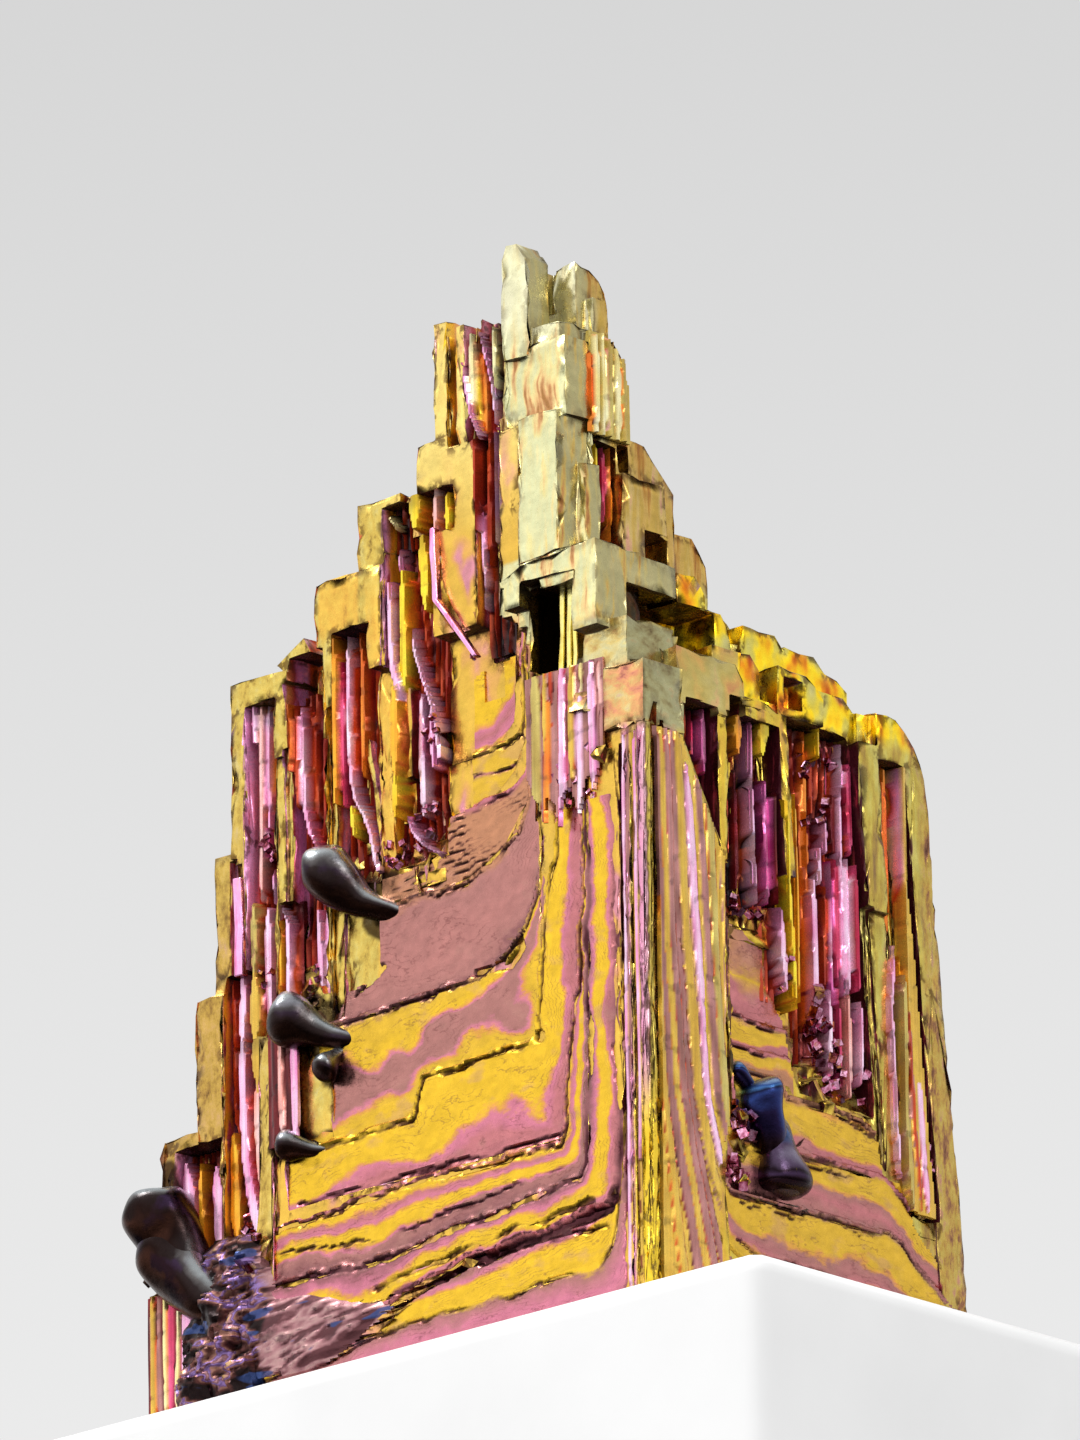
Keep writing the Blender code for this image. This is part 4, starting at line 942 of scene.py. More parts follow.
# %% Combs of the broad face
broad_combs = [
    comb(True, (27.25, 20.5), (29.45, 39.5), 1.4, "wine", [
        ([(28.8, 37.4), (28.75, 39.5)], 0.6, 0.3, "rose", "blush"),
        ([(28.25, 28.3), (28.3, 36.4), (28.2, 39.4)], 0.42, 0.5, "blush", "rust"),
        ([(27.65, 32.3), (27.7, 39.2)], 0.5, 0.7, "rose", "ember"),
        ([(27.85, 30.7), (27.75, 32.0)], 0.7, 0.8, "magenta", "wine"),
        ([(28.0, 28.0), (28.0, 30.0)], 0.5, 0.9, "rust", "wine"),
        ([(27.3, 27.9), (27.35, 29.7)], 0.42, 0.6, "rose", "wine"),
        ([(28.85, 20.4), (28.9, 24.2)], 0.95, 0.0, "straw", "rust"),
        ([(28.9, 24.2), (28.85, 28.0)], 0.75, 0.0, "olive", "rust"),
        ([(27.75, 20.8), (27.8, 27.5)], 0.68, 0.35, "rose", "rust")]),
    comb(True, (26.0, 21.6), (27.25, 27.9), 1.0, "wine", [
        ([(26.9, 22.4), (26.95, 26.6)], 0.42, 0.25, "amber", "rust"),
        ([(26.3, 21.6), (26.35, 26.4), (26.7, 27.3)], 0.46, 0.2, "rose", "rust")]),
    comb(True, (23.6, 22.2), (26.25, 39.6), 1.7, "wine", [
        ([(24.1, 30.1), (24.6, 31.2), (24.95, 32.6), (25.05, 36.0), (25.1, 38.4)], 0.42, 0.65, "rose",
         "rust"),
        ([(25.5, 33.0), (25.6, 38.6)], 0.42, 0.4, "rust", "wine"),
        ([(26.0, 35.0), (26.05, 38.8)], 0.3, 0.15, "ember", "wine"),
        ([(24.2, 31.0), (24.4, 37.9)], 0.75, 1.25, "rust", "wine"),
        ([(23.3, 21.4), (23.0, 27.3)], 0.9, 0.9, "pearl", "rust"),
        ([(23.75, 21.0), (23.9, 26.6)], 0.5, 0.7, "rose", "wine")]),
    comb(True, (20.3, 28.0), (22.95, 42.2), 1.7, "wine", [
        ([(22.65, 32.6), (22.7, 41.8)], 0.52, 0.2, "amber", "rust"),
        ([(22.0, 32.2), (22.05, 36.0), (22.05, 40.2)], 0.42, 0.55, "cerise", "wine"),
        ([(19.4, 27.4), (19.75, 28.6), (20.05, 30.2), (20.5, 31.3), (21.1, 32.3), (21.4, 33.4),
          (21.6, 36.0), (21.65, 40.2),
          (21.7, 41.6)], 0.4, (0.75, 0.5), "pearl", "rust"),
        ([(21.0, 33.2), (21.15, 36.0), (21.1, 40.0)], 0.34, 0.9, "rust", "wine"),
        ([(20.5, 33.6), (20.5, 40.2), (20.75, 41.9)], 0.4, 0.95, "ember", "rust"),
        ([(21.3, 30.4), (21.4, 31.9)], 0.7, 0.4, "gold", "ember")]),
    comb(True, (15.45, 28.2), (19.15, 46.4), 1.9, "wine", [
        ([(17.7, 36.6), (17.9, 38.0), (18.25, 39.4), (18.4, 41.0), (18.5, 44.0)], 0.55, 0.4, "rose", "wine"),
        ([(17.4, 37.4), (17.45, 44.4)], 0.62, 0.7, "gold", "ember"),
        ([(15.0, 33.4), (15.1, 35.2), (15.5, 36.4), (16.15, 38.0), (16.6, 39.6), (16.7, 41.0)], 0.32,
         (0.5, 0.9), "pearl", "wine"),
        ([(18.2, 33.1), (18.2, 38.0)], 0.78, 0.12, "amber", "rust"),
        ([(18.2, 30.8), (18.2, 32.8)], 0.88, 0.08, "gold", "ember"),
        ([(17.2, 33.2), (17.3, 36.8)], 0.5, 0.9, "ember", "wine"),
        ([(17.3, 30.4), (17.3, 33.0)], 0.5, 1.0, "rust", "wine"),
        ([(16.1, 30.4), (16.2, 37.0)], 0.6, 0.8, "pearl", "wine"),
        ([(15.35, 32.9), (15.5, 35.9)], 0.5, 0.6, "pearl", "rust"),
        ([(15.0, 27.9), (16.2, 28.6), (16.9, 29.6), (17.25, 30.4)], 0.45, 0.5, "rose", "wine"),
        ([(15.8, 42.0), (15.9, 46.2)], 0.75, 0.5, "gold", "ember"),
        ([(17.6, 44.6), (17.6, 45.6)], 0.5, 0.8, "pearl", "soot")]),
    comb(True, (13.75, 46.1), (19.25, 48.7), 1.6, "soot", [
        ([(17.9, 47.1), (18.4, 47.7)], 0.7, 0.7, "cream", "soot"),
        ([(16.4, 46.8), (16.45, 49.0)], 1.3, 0.25, "gold", "ember"),
        ([(14.9, 45.9), (14.9, 48.4)], 0.55, 0.2, "blush", "ember"),
        ([(14.05, 45.6), (14.05, 48.0)], 0.5, 0.1, "gold", "rust")]),
    comb(True, (10.3, 38.5), (12.15, 51.2), 1.4, "soot", [
        ([(11.35, 41.0), (11.45, 46.0), (11.7, 50.8)], 0.3, 0.6, "rose", "wine"),
        ([(10.95, 43.4), (10.9, 50.8)], 0.34, 0.8, "rust", "wine"),
        ([(11.9, 45.6), (12.0, 50.8)], 0.3, 0.1, "rust", "wine"),
        ([(10.5, 44.6), (10.45, 50.6)], 0.22, 0.5, "rose", "soot")]),
    comb(True, (10.3, 50.9), (14.1, 56.9), 1.3, "wine", [
        ([(13.05, 51.2), (13.15, 56.9)], 0.42, 0.6, "amber", "soot"),
        ([(11.7, 50.8), (12.25, 52.2), (12.75, 55.2)], 0.3, 0.08, "rose", "wine"),
        ([(12.0, 52.6), (12.1, 57.0)], 0.5, 0.3, "cream", "ember"),
        ([(11.5, 50.6), (11.6, 53.0), (11.75, 56.6)], 0.4, 0.6, "gold", "ember"),
        ([(11.05, 50.9), (11.2, 55.6)], 0.36, 0.8, "ember", "wine"),
        ([(10.3, 50.9), (10.6, 53.4), (11.1, 55.2), (11.45, 56.6)], 0.28, 0.4, "rose", "soot"),
        ([(10.35, 53.4), (10.5, 56.8)], 0.45, 0.3, "cream", "soot")]),
    comb(True, (29.5, 20.6), (31.2, 24.4), 1.1, "wine", [
        ([(30.4, 20.0), (30.45, 24.0)], 0.42, 0.6, "rust", "wine"),
        ([(29.8, 20.0), (29.8, 24.6)], 0.6, 0.1, "rose", "rust")]),
    comb(True, (28.6, 9.7), (31.2, 20.6), 1.1, "wine", [
        ([(30.4, 9.4), (30.55, 15.4)], 0.9, 0.3, "amber", "wine"),
        ([(30.4, 16.2), (30.45, 21.0)], 0.42, 0.6, "rust", "wine"),
        ([(28.7, 9.4), (29.2, 11.6), (29.65, 14.0), (29.8, 18.0), (29.8, 21.0)], (0.9, 0.55), 0.1, "rose",
         "rust"),
        ([(28.6, 17.6), (28.8, 20.8)], 1.1, 0.02, "straw", "ember"),
        ([(28.3, 11.6), (28.75, 17.8)], 1.0, 0.05, "blush", "ember")]),
    comb(True, (31.25, 8.4), (35.05, 15.3), 1.5, "wine", [
        ([(33.3, 8.6), (33.9, 11.5), (34.2, 14.4)], 1.1, 0.6, "rose", "rust"),
        ([(32.9, 8.8), (33.05, 14.2)], 0.5, 0.35, "amber", "wine"),
        ([(31.6, 8.6), (31.8, 13.8)], 0.9, 0.45, "rose", "wine")]),
    comb(True, (33.6, 0.45), (37.0, 7.5), -0.04, "wine", [
        ([(36.75, 0.2), (36.75, 7.6)], 0.5, -0.22, "straw", "rust"),
        ([(36.25, 0.2), (36.25, 7.6)], 0.42, -0.16, "mauve", "wine"),
        ([(35.8, 0.2), (35.8, 7.6)], 0.36, -0.24, "cream", "ember"),
        ([(35.35, 0.2), (35.35, 7.6)], 0.5, -0.14, "cerise", "wine"),
        ([(34.85, 0.2), (34.85, 7.6)], 0.36, -0.22, "cream", "blush"),
        ([(34.3, 0.2), (34.3, 7.6)], 0.62, -0.18, "rose", "cerise"),
        ([(33.75, 0.2), (33.75, 7.0)], 0.5, -0.12, "pearl", "wine")]),
    comb(True, (25.4, 14.0), (27.7, 20.6), -0.12, "wine", [
        ([(27.35, 14.4), (27.4, 20.6)], 0.3, -0.2, "wine", "soot"),
        ([(26.95, 14.6), (26.95, 20.6)], 0.42, -0.3, "blush", "wine"),
        ([(25.95, 14.2), (25.9, 20.2)], 0.8, -0.3, "rose", "wine")]),
    comb(True, (0.3, 0.6), (1.5, 31.4), -0.03, "straw", [
        ([(0.35, 0.4), (0.35, 31.6)], (0.5, 0.26), -0.16, "straw", "mauve"),
        ([(0.7, 8.0), (0.68, 31.6)], 0.3, -0.22, "rose", "mauve"),
        ([(0.98, 0.4), (0.95, 31.6)], (0.5, 0.24), -0.12, "straw", "wine"),
        ([(1.25, 10.0), (1.22, 31.6)], 0.3, -0.2, "mauve", "wine"),
        ([(1.5, 0.4), (1.48, 31.6)], 0.3, -0.1, "rose", "wine")]),
    comb(True, (2.65, 26.2), (8.35, 36.2), -0.12, "mauve", [
        ([(7.75, 28.0), (7.8, 36.4)], 0.85, -0.24, "olive", "wine"),
        ([(7.05, 27.0), (6.8, 34.4)], 0.55, -0.2, "ember", "rust"),
        ([(6.6, 34.6), (6.7, 36.4)], 0.5, -0.2, "rust", "wine"),
        ([(7.1, 32.0), (7.15, 36.4)], 0.36, -0.28, "straw", "rust"),
        ([(5.9, 26.0), (5.95, 36.4)], 0.62, -0.3, "rose", "cerise"),
        ([(5.2, 30.0), (5.2, 36.4)], 0.6, -0.34, "straw", "rust"),
        ([(5.2, 28.0), (5.1, 29.8)], 0.5, -0.2, "mauve", "wine"),
        ([(4.65, 27.0), (4.5, 34.6)], 0.5, -0.22, "pearl", "wine"),
        ([(4.4, 34.8), (4.45, 36.4)], 0.4, -0.22, "cream", "wine"),
        ([(3.65, 28.6), (3.7, 36.0)], 0.6, -0.3, "rose", "wine"),
        ([(3.0, 28.0), (2.95, 33.4)], 0.5, -0.22, "mauve", "wine"),
        ([(3.0, 33.6), (3.05, 35.8)], 0.4, -0.2, "blush", "wine")],
        [(8.36, 30.4), (7.9, 29.4), (7.5, 28.9), (7.1, 27.2), (6.8, 29.0), (6.3, 28.6), (5.9, 26.4),
         (5.6, 28.8), (5.1, 29.4), (4.7, 27.4), (4.3, 28.3),
         (3.9, 29.8), (3.5, 28.4), (3.1, 29.6), (2.64, 31.0), (2.64, 36.2), (8.36, 36.2)]),
]
broad_combs = joined(broad_combs, "broad_channel_combs")
keep(broad_combs)

# %% Combs of the narrow face
narrow_combs = [
    comb(False, (3.3, 26.4), (6.0, 34.1), 1.5, "soot", [
        ([(4.9, 30.2), (4.85, 33.6)], 0.63, 0.7, "magenta", "wine"),
        ([(3.95, 31.0), (3.9, 33.2)], 0.37, 1.1, "cerise", "soot")],
        [(3.35, 31.8), (5.95, 26.4), (5.95, 34.05), (3.35, 34.05)]),
    comb(False, (6.6, 23.2), (11.0, 34.0), 1.7, "soot", [
        ([(8.95, 23.8), (8.75, 28.0), (8.6, 34.4)], 0.24, 0.5, "rose", "soot"),
        ([(9.3, 24.0), (9.3, 29.6)], 0.3, 1.1, "wine", "soot"),
        ([(9.8, 24.0), (9.75, 30.6)], 0.49, 0.7, "magenta", "wine"),
        ([(10.55, 24.2), (10.55, 30.4)], 0.3, 0.3, "wine", "soot"),
        ([(7.6, 31.9), (7.7, 34.3)], 0.89, 0.1, "amber", "soot"),
        ([(9.6, 32.3), (9.9, 34.8)], 1.11, 0.15, "gold", "soot"),
        ([(7.3, 24.2), (7.3, 30.6)], 0.44, 1.3, "wine", "soot")]),
    comb(False, (10.2, 18.7), (11.45, 24.0), 1.2, "wine", [
        ([(11.15, 19.4), (10.75, 23.7)], 0.55, 0.1, "pearl", "wine")]),
    comb(False, (11.4, 14.2), (17.25, 34.9), 1.9, "wine", [
        ([(11.95, 18.6), (11.55, 24.0), (11.45, 30.0)], 0.41, -0.05, "gold", "ember"),
        ([(12.15, 19.0), (12.1, 30.4)], 0.3, 0.6, "amber", "ember"),
        ([(13.0, 20.0), (13.0, 29.6)], 0.26, 1.1, "ember", "wine"),
        ([(13.35, 18.4), (13.45, 22.2), (13.5, 25.9)], 0.53, 0.8, "rose", "wine"),
        ([(14.0, 26.0), (14.05, 27.8)], 0.55, 0.85, "pearl", "wine"),
        ([(14.6, 27.9), (14.65, 29.6)], 0.55, 0.9, "rose", "wine"),
        ([(12.6, 17.6), (12.6, 31.0)], 0.46, 1.4, "ember", "rust"),
        ([(14.3, 19.8), (14.4, 25.6)], 0.46, 1.2, "rust", "wine"),
        ([(15.35, 20.6), (15.35, 27.4)], 0.49, 0.9, "cerise", "wine"),
        ([(16.15, 20.2), (16.2, 27.6)], 0.44, 0.65, "pearl", "cerise"),
        ([(16.9, 20.6), (16.9, 27.4)], 0.37, 0.25, "cerise", "wine"),
        ([(14.85, 19.4), (14.9, 27.2)], 0.28, 1.0, "magenta", "wine"),
        ([(15.75, 20.0), (15.8, 31.6)], 0.26, 0.8, "rose", "wine"),
        ([(16.55, 19.8), (16.6, 27.8)], 0.22, 0.7, "magenta", "rust"),
        ([(12.9, 28.6), (12.9, 34.0)], 0.4, 1.3, "ember", "wine"),
        ([(16.0, 27.8), (16.0, 30.6)], 0.3, 0.9, "rust", "soot"),
        ([(15.9, 31.4), (15.8, 34.0)], 0.3, 0.9, "rose", "wine"),
        ([(16.5, 28.2), (16.5, 33.0)], 0.59, 0.6, "cerise", "wine"),
        ([(15.2, 28.0), (15.2, 31.0)], 0.59, 1.1, "wine", "soot"),
        ([(13.4, 29.8), (13.4, 32.6)], 0.52, 1.3, "rust", "soot"),
        ([(14.1, 33.1), (14.1, 34.6)], 0.52, 0.5, "gold", "soot"),
        ([(14.6, 15.4), (14.5, 20.0)], 0.37, 0.5, "pearl", "wine"),
        ([(15.4, 15.0), (15.3, 20.2)], 0.3, 0.7, "cerise", "soot"),
        ([(16.1, 14.4), (16.1, 20.0)], 0.37, 0.5, "blush", "wine"),
        ([(17.0, 15.2), (17.0, 19.8)], 0.3, 0.15, "pearl", "wine")]),
    comb(False, (18.9, 8.9), (22.9, 34.0), lambda run, rise: np.where(run > 20.8, -0.06, 1.2), "straw", [
        ([(20.9, 9.4), (20.7, 14.0), (20.6, 22.0)], 0.5, -0.14, "olive", "mauve"),
        ([(21.6, 9.4), (21.2, 14.0), (20.95, 20.0)], 0.3, -0.16, "rust", "mauve"),
        ([(22.15, 9.4), (21.75, 14.0), (21.4, 18.5), (21.05, 24.0), (20.7, 28.0), (20.45, 33.9)],
         (0.6, 0.5), (-0.22, 0.3), "rose", "rust"),
        ([(20.05, 10.8), (19.75, 14.0), (19.6, 20.0), (19.9, 23.6)], 0.32, 0.02, "rose", "ember"),
        ([(20.6, 11.6), (20.3, 17.0), (20.2, 23.0)], 0.45, 0.3, "amber", "rust"),
        ([(19.3, 24.4), (19.25, 33.4)], 0.6, 0.6, "ember", "rust")],
        [(18.85, 9.0), (21.2, 8.9), (22.75, 8.9), (22.6, 10.4), (22.15, 14.4), (21.8, 19.0), (21.3, 25.0),
         (20.9, 28.0),
         (20.9, 34.05), (18.85, 34.05)]),
    comb(False, (2.15, 50.0), (5.25, 55.8), -0.03, "olive", [
        ([(2.35, 50.0), (2.3, 54.4)], 0.3, -0.14, "ember", "wine"),
        ([(2.85, 50.0), (2.85, 55.6)], 0.46, -0.34, "cream", "ember"),
        ([(3.4, 50.0), (3.35, 55.8)], 0.42, -0.24, "cream", "olive"),
        ([(3.95, 50.0), (3.9, 55.8)], 0.48, -0.34, "olive", "blush"),
        ([(4.5, 50.0), (4.45, 55.6)], 0.44, -0.2, "cream", "olive"),
        ([(5.0, 50.0), (4.95, 55.0)], 0.4, -0.28, "olive", "ember")],
        [(2.14, 50.0), (5.26, 50.0), (5.26, 53.4), (4.7, 54.7), (4.0, 55.5), (3.2, 55.81), (2.14, 55.81)],
        base=5.38),
    comb(False, (2.7, 43.7), (4.3, 49.6), 1.1, "soot", [
        ([(3.45, 45.4), (3.5, 49.6)], 0.42, 0.25, "cerise", "wine"),
        ([(3.0, 47.2), (2.95, 49.6)], 0.4, 0.1, "gold", "ember"),
        ([(4.0, 44.4), (4.05, 49.4)], 0.3, 0.05, "ember", "wine")], base=5.65),
    comb(False, (0.55, 0.6), (5.95, 31.8), -0.03, "straw", [
        ([(2.6, 0.4), (2.0, 4.0), (1.5, 8.0), (1.0, 12.0), (0.7, 20.0), (0.6, 32.0)], (0.8, 0.3), -0.2,
         "straw", "rust"),
        ([(3.9, 0.4), (3.1, 4.0), (2.2, 8.0), (1.5, 12.0), (1.0, 20.0), (0.9, 32.0)], (0.9, 0.34), -0.16,
         "mauve", "wine"),
        ([(4.6, 0.4), (3.7, 4.0), (2.8, 8.0), (2.0, 12.0), (1.4, 20.0), (1.25, 32.0)], (0.7, 0.4), -0.2,
         "straw", "rust"),
        ([(5.2, 0.4), (4.4, 4.0), (3.4, 8.0), (2.6, 12.0), (1.9, 20.0), (1.65, 32.0)], (0.8, 0.5), -0.24,
         "mauve", "rust"),
        ([(6.0, 0.4), (5.0, 4.0), (3.9, 8.0), (3.05, 12.0), (2.3, 20.0), (2.0, 32.0)], (0.6, 0.36), -0.14,
         "mauve", "wine"),
        ([(6.6, 4.0), (4.7, 8.0), (3.75, 12.0), (3.0, 20.0), (2.5, 32.0)], 0.8, -0.2, "straw", "mauve"),
        ([(6.6, 6.0), (5.2, 9.0), (4.4, 12.0), (3.8, 20.0), (3.2, 30.0)], 0.6, -0.17, "rose", "mauve"),
        ([(6.6, 8.0), (5.2, 12.0), (4.6, 20.0), (4.0, 30.0)], 0.7, -0.15, "mauve", "straw"),
        ([(6.4, 9.0), (5.8, 12.0), (5.3, 20.0), (4.9, 30.0)], 0.7, -0.18, "olive", "rust"),
        ([(6.4, 11.0), (6.3, 20.0), (5.7, 30.0)], 0.6, -0.15, "straw", "mauve")],
        [(0.62, 0.7), (5.15, 0.7), (5.15, 8.1), (5.9, 10.7), (5.9, 25.5), (2.8, 31.7), (0.62, 31.7)],
        base=-0.3),
]
narrow_combs = joined(narrow_combs, "narrow_channel_combs")
keep(narrow_combs)

# %% [markdown]
# The banded film. Each terrace keeps the film thickness of the moment it left the melt, so bands
# of gold, rose and mauve follow the growth lines, with crisp edges like the lines of a map, and
# each crack gets painted shade: a dark maroon colour laid along it.

# %% Banded films of the two faces
def banded_film(name, stops):
    """A film whose colour follows the growth value of a relief panel."""
    material, tree, shader, place, facing = start_film(name)
    level = marked(tree, "growth")
    crack = marked(tree, "crack")
    ragged = product(tree, grain(tree, place, (0.8, 0.8, 0.4), 4.0, 0.65), 0.2)
    wobble = math_node(tree, "ADD", level, math_node(tree, "SUBTRACT", ragged, 0.1))
    colour = bands(tree, wobble, stops)
    patches = grain(tree, place, (2.2, 2.2, 1.3), 3.0)
    colour = blend(tree, product(tree, between(tree, patches, 0.56, 0.7), 0.35), colour, swatch("#B48478"))
    # hairlines that run along the terraces, in some places only
    waver = product(tree, grain(tree, place, (1.8, 1.8, 0.7), 5.0, 0.6), 5.0)
    climb = math_node(tree, "ADD", product(tree, level, 11.0), waver)
    line = math_node(tree, "PINGPONG", climb, 0.5)
    some = between(tree, grain(tree, place, (2.6, 2.6, 1.6), 3.0), 0.44, 0.58)
    hair = product(tree, between(tree, line, 0.14, 0.0), some, 0.5)
    colour = blend(tree, hair, colour, swatch("#6C3C3C"))
    # painted shade: each crack is coloured dark maroon over the colour of its band
    stain_and_crack_shade = between(tree, crack, 0.12, 0.75)
    colour = blend(tree, product(tree, stain_and_crack_shade, 0.88), colour, swatch("#3A1620"))
    finish_film(tree, shader, place, colour)
    return material


GOLD, STRAW, AMBER = "#E4B834", "#D8AE3C", "#D89850"
PINK, ROSE, MAUVE, DUSK, TAN = "#D07C92", "#BC7478", "#AC7670", "#905E60", "#BC8464"
BROAD_STOPS = [
    (0, ROSE), (0.7, PINK), (0.96, MAUVE), (1.04, GOLD), (1.72, GOLD), (1.77, AMBER), (1.82, PINK),
    (1.93, MAUVE), (2.04, DUSK), (2.22, ROSE), (2.28, PINK), (2.33, AMBER), (2.38, GOLD), (2.68, GOLD),
    (2.73, AMBER), (2.78, PINK), (2.94, DUSK), (3.05, DUSK), (3.28, MAUVE), (3.32, PINK), (3.365, AMBER),
    (3.41, GOLD), (3.6, GOLD), (3.645, AMBER), (3.69, PINK), (3.82, ROSE), (3.865, AMBER), (3.91, GOLD),
    (3.97, GOLD), (4.01, AMBER), (4.05, ROSE), (4.26, ROSE), (4.4, PINK), (4.45, AMBER), (4.5, GOLD),
    (4.98, GOLD), (5.03, GOLD), (5.18, STRAW), (5.225, AMBER), (5.27, PINK), (5.32, MAUVE), (5.6, MAUVE),
    (5.64, PINK), (5.685, AMBER), (5.73, GOLD), (5.95, STRAW), (6.02, DUSK), (6.1, MAUVE),
    (6.4, "#B47A74"), (6.92, MAUVE), (7.02, TAN), (7.48, TAN), (7.9, TAN), (8.02, ROSE), (8.2, PINK),
    (8.26, AMBER), (8.32, STRAW), (8.92, STRAW), (9.03, ROSE), (9.16, STRAW), (9.92, STRAW),
    (10.03, STRAW), (10.26, STRAW), (10.32, AMBER), (10.38, PINK), (10.7, ROSE), (10.96, PINK),
    (11.02, AMBER), (11.08, GOLD), (12, GOLD)]
NARROW_STOPS = [
    (0, ROSE), (0.5, ROSE), (0.9, MAUVE), (1.03, STRAW), (1.3, STRAW), (1.35, AMBER), (1.4, ROSE),
    (1.6, MAUVE), (1.65, AMBER), (1.7, STRAW), (1.95, STRAW), (2.03, MAUVE), (2.28, ROSE), (2.48, MAUVE),
    (2.53, AMBER), (2.58, STRAW), (2.96, STRAW), (3.03, ROSE), (3.28, ROSE), (3.34, AMBER), (3.4, STRAW),
    (3.9, STRAW), (3.97, AMBER), (4.04, TAN), (4.48, TAN), (4.55, AMBER), (4.62, STRAW), (4.95, STRAW),
    (5.03, ROSE), (5.38, ROSE), (5.43, AMBER), (5.48, STRAW), (5.92, STRAW), (6.03, ROSE), (6.5, ROSE),
    (6.9, STRAW), (7.05, TAN), (7.3, MAUVE), (7.6, TAN), (8, TAN)]
coat(broad_relief, banded_film("broad_face_banded_oxide_film", BROAD_STOPS))
coat(narrow_relief, banded_film("narrow_face_banded_oxide_film", NARROW_STOPS))

# %% [markdown]
# The film on all the rest of the skin. Its zones were left by the melt at different times: olive
# columns along the far edges, a pale tower that cooled first, and deep channels, where light
# bounces between the walls and turns gold into orange, rose and red.

# %% Film zones of the skin
film, tree, shader, place, facing = start_film("oxide_film_on_bismuth")
left, back, up = axes(tree, pulled(tree, place, 1.4, 0.12))
exact_left, exact_back, exact_up = axes(tree, place)
front = between(tree, product(tree, facing[1], -1.0), 0.5, 0.8)
side = between(tree, facing[0], 0.5, 0.8)
below = between(tree, product(tree, facing[2], -1.0), 0.5, 0.8)

# gold plates with rose clouds
soft = pulled(tree, place, 3.0, 0.5)
clouds = grain(tree, soft, (3.0, 3.0, 5.0), 2.0)
plate = bands(tree, clouds, [
    (0.25, "#BC8484"), (0.34, "#D48C98"), (0.39, "#DCA460"), (0.45, "#DEB24C"), (0.7, "#DCB44C"),
    (1.0, "#E4C464")])
pale_gold = bands(tree, clouds, [
    (0.25, "#D49888"), (0.34, "#E4B078"), (0.4, "#EACC74"), (0.6, "#ECD47C"), (1.0, "#ECD488")])
plate = blend(tree, between(tree, up, 44.0, 52.0), plate, pale_gold)

# olive columns
mottle = grain(tree, place, (0.9, 0.9, 1.6), 6.0, 0.72)
olive = bands(tree, mottle, [
    (0.28, "#5C4624"), (0.36, "#A48844"), (0.44, "#CCAE54"), (0.56, "#D6BE64"), (0.7, "#D4C480")])
brown = bands(tree, mottle, [
    (0.3, "#5A4028"), (0.4, "#9C7840"), (0.5, "#C09C4C"), (0.62, "#CCA464"), (0.75, "#CC9498")])
far_and_low = product(tree, between(tree, left, 26.4, 30.5), between(tree, up, 41.0, 22.0))
olive = blend(tree, far_and_low, olive, brown)
ochre = bands(tree, mottle, [(0.3, "#B08040"), (0.42, "#DCAC4C"), (0.6, "#E4BC54"), (0.75, "#D4A868")])
wide_column = product(tree, within(tree, left, 20.9, 23.9), between(tree, up, 41.6, 42.6))
slim_column = product(tree, within(tree, left, 18.9, 20.4), between(tree, up, 46.0, 42.0))
olive = blend(tree, slim_column, blend(tree, wide_column, olive, ochre), ochre)
column_mask = product(tree, between(tree, exact_left, 18.9, 19.3), between(tree, exact_up, 13.0, 16.0))
column_mask = either(tree, column_mask, between(tree, exact_left, 27.4, 27.8))
on_front = blend(tree, column_mask, plate, olive)

# stripes of the corner post
stripe = math_node(tree, "SUBTRACT", left, math_node(tree, "MULTIPLY", back, 0.7))
post = bands(tree, stripe, [
    (-6.0, "#D0A850"), (-3.6, "#C89088"), (-2.7, "#C88C94"), (-2.5, "#D8B850"), (-2.0, "#D8B850"),
    (-1.8, "#C88898"), (-1.2, "#DC9CB4"), (-1.0, "#8C6050"), (-0.9, "#D8BC58"), (-0.3, "#D0B858"),
    (-0.2, "#7C5840"), (-0.1, "#D8A8B4"), (0.3, "#D890B0"), (0.4, "#9C6C60"), (0.5, "#DCC05C"),
    (0.9, "#E4C450"), (1.1, "#D88CB0"), (1.5, "#C07C9C"), (2.5, "#D8B048")])
gold_post = bands(tree, stripe, [
    (-6.0, "#D8B040"), (-2.2, "#E4C040"), (-0.4, "#ECC83C"), (0.9, "#ECC83C"), (1.2, "#DC90B8"),
    (2.0, "#C880A8")])
low_post = blend(tree, between(tree, up, 14.0, 9.0), post, gold_post)
post_area = product(tree, between(tree, exact_left, 1.7, 1.5), between(tree, exact_back, 2.7, 2.4),
                    between(tree, exact_up, 33.0, 31.0))

# frames of the narrow face
frame_tone = grain(tree, place, (1.0, 1.0, 5.0), 5.0, 0.62)
narrow_olive = bands(tree, frame_tone, [
    (0.3, "#8C6C48"), (0.42, "#B09448"), (0.52, "#C4B054"), (0.62, "#C8BC68"), (0.74, "#C09070")])
narrow_gold = bands(tree, frame_tone, [
    (0.3, "#B08060"), (0.42, "#D8AC48"), (0.52, "#DCBC44"), (0.64, "#D8C058"), (0.78, "#C88C80")])
on_side = blend(tree, between(tree, exact_back, 17.0, 17.6), narrow_gold, narrow_olive)
rough_frame = bands(tree, grain(tree, place, (0.9, 0.9, 2.4), 5.0, 0.7), [
    (0.3, "#5C3C34"), (0.4, "#94684C"), (0.47, "#B8944C"), (0.56, "#C0A858"), (0.64, "#BC8C6C"),
    (0.75, "#A87078")])
on_side = blend(tree, between(tree, back, 21.8, 22.6), on_side, rough_frame)
bright = bands(tree, grain(tree, place, (1.5, 1.5, 2.5), 2.0), [
    (0.3, "#C85C20"), (0.38, "#F09C24"), (0.44, "#FCC824"), (0.52, "#FFDC2C"), (0.6, "#D8C858"),
    (0.74, "#C8C07C")])
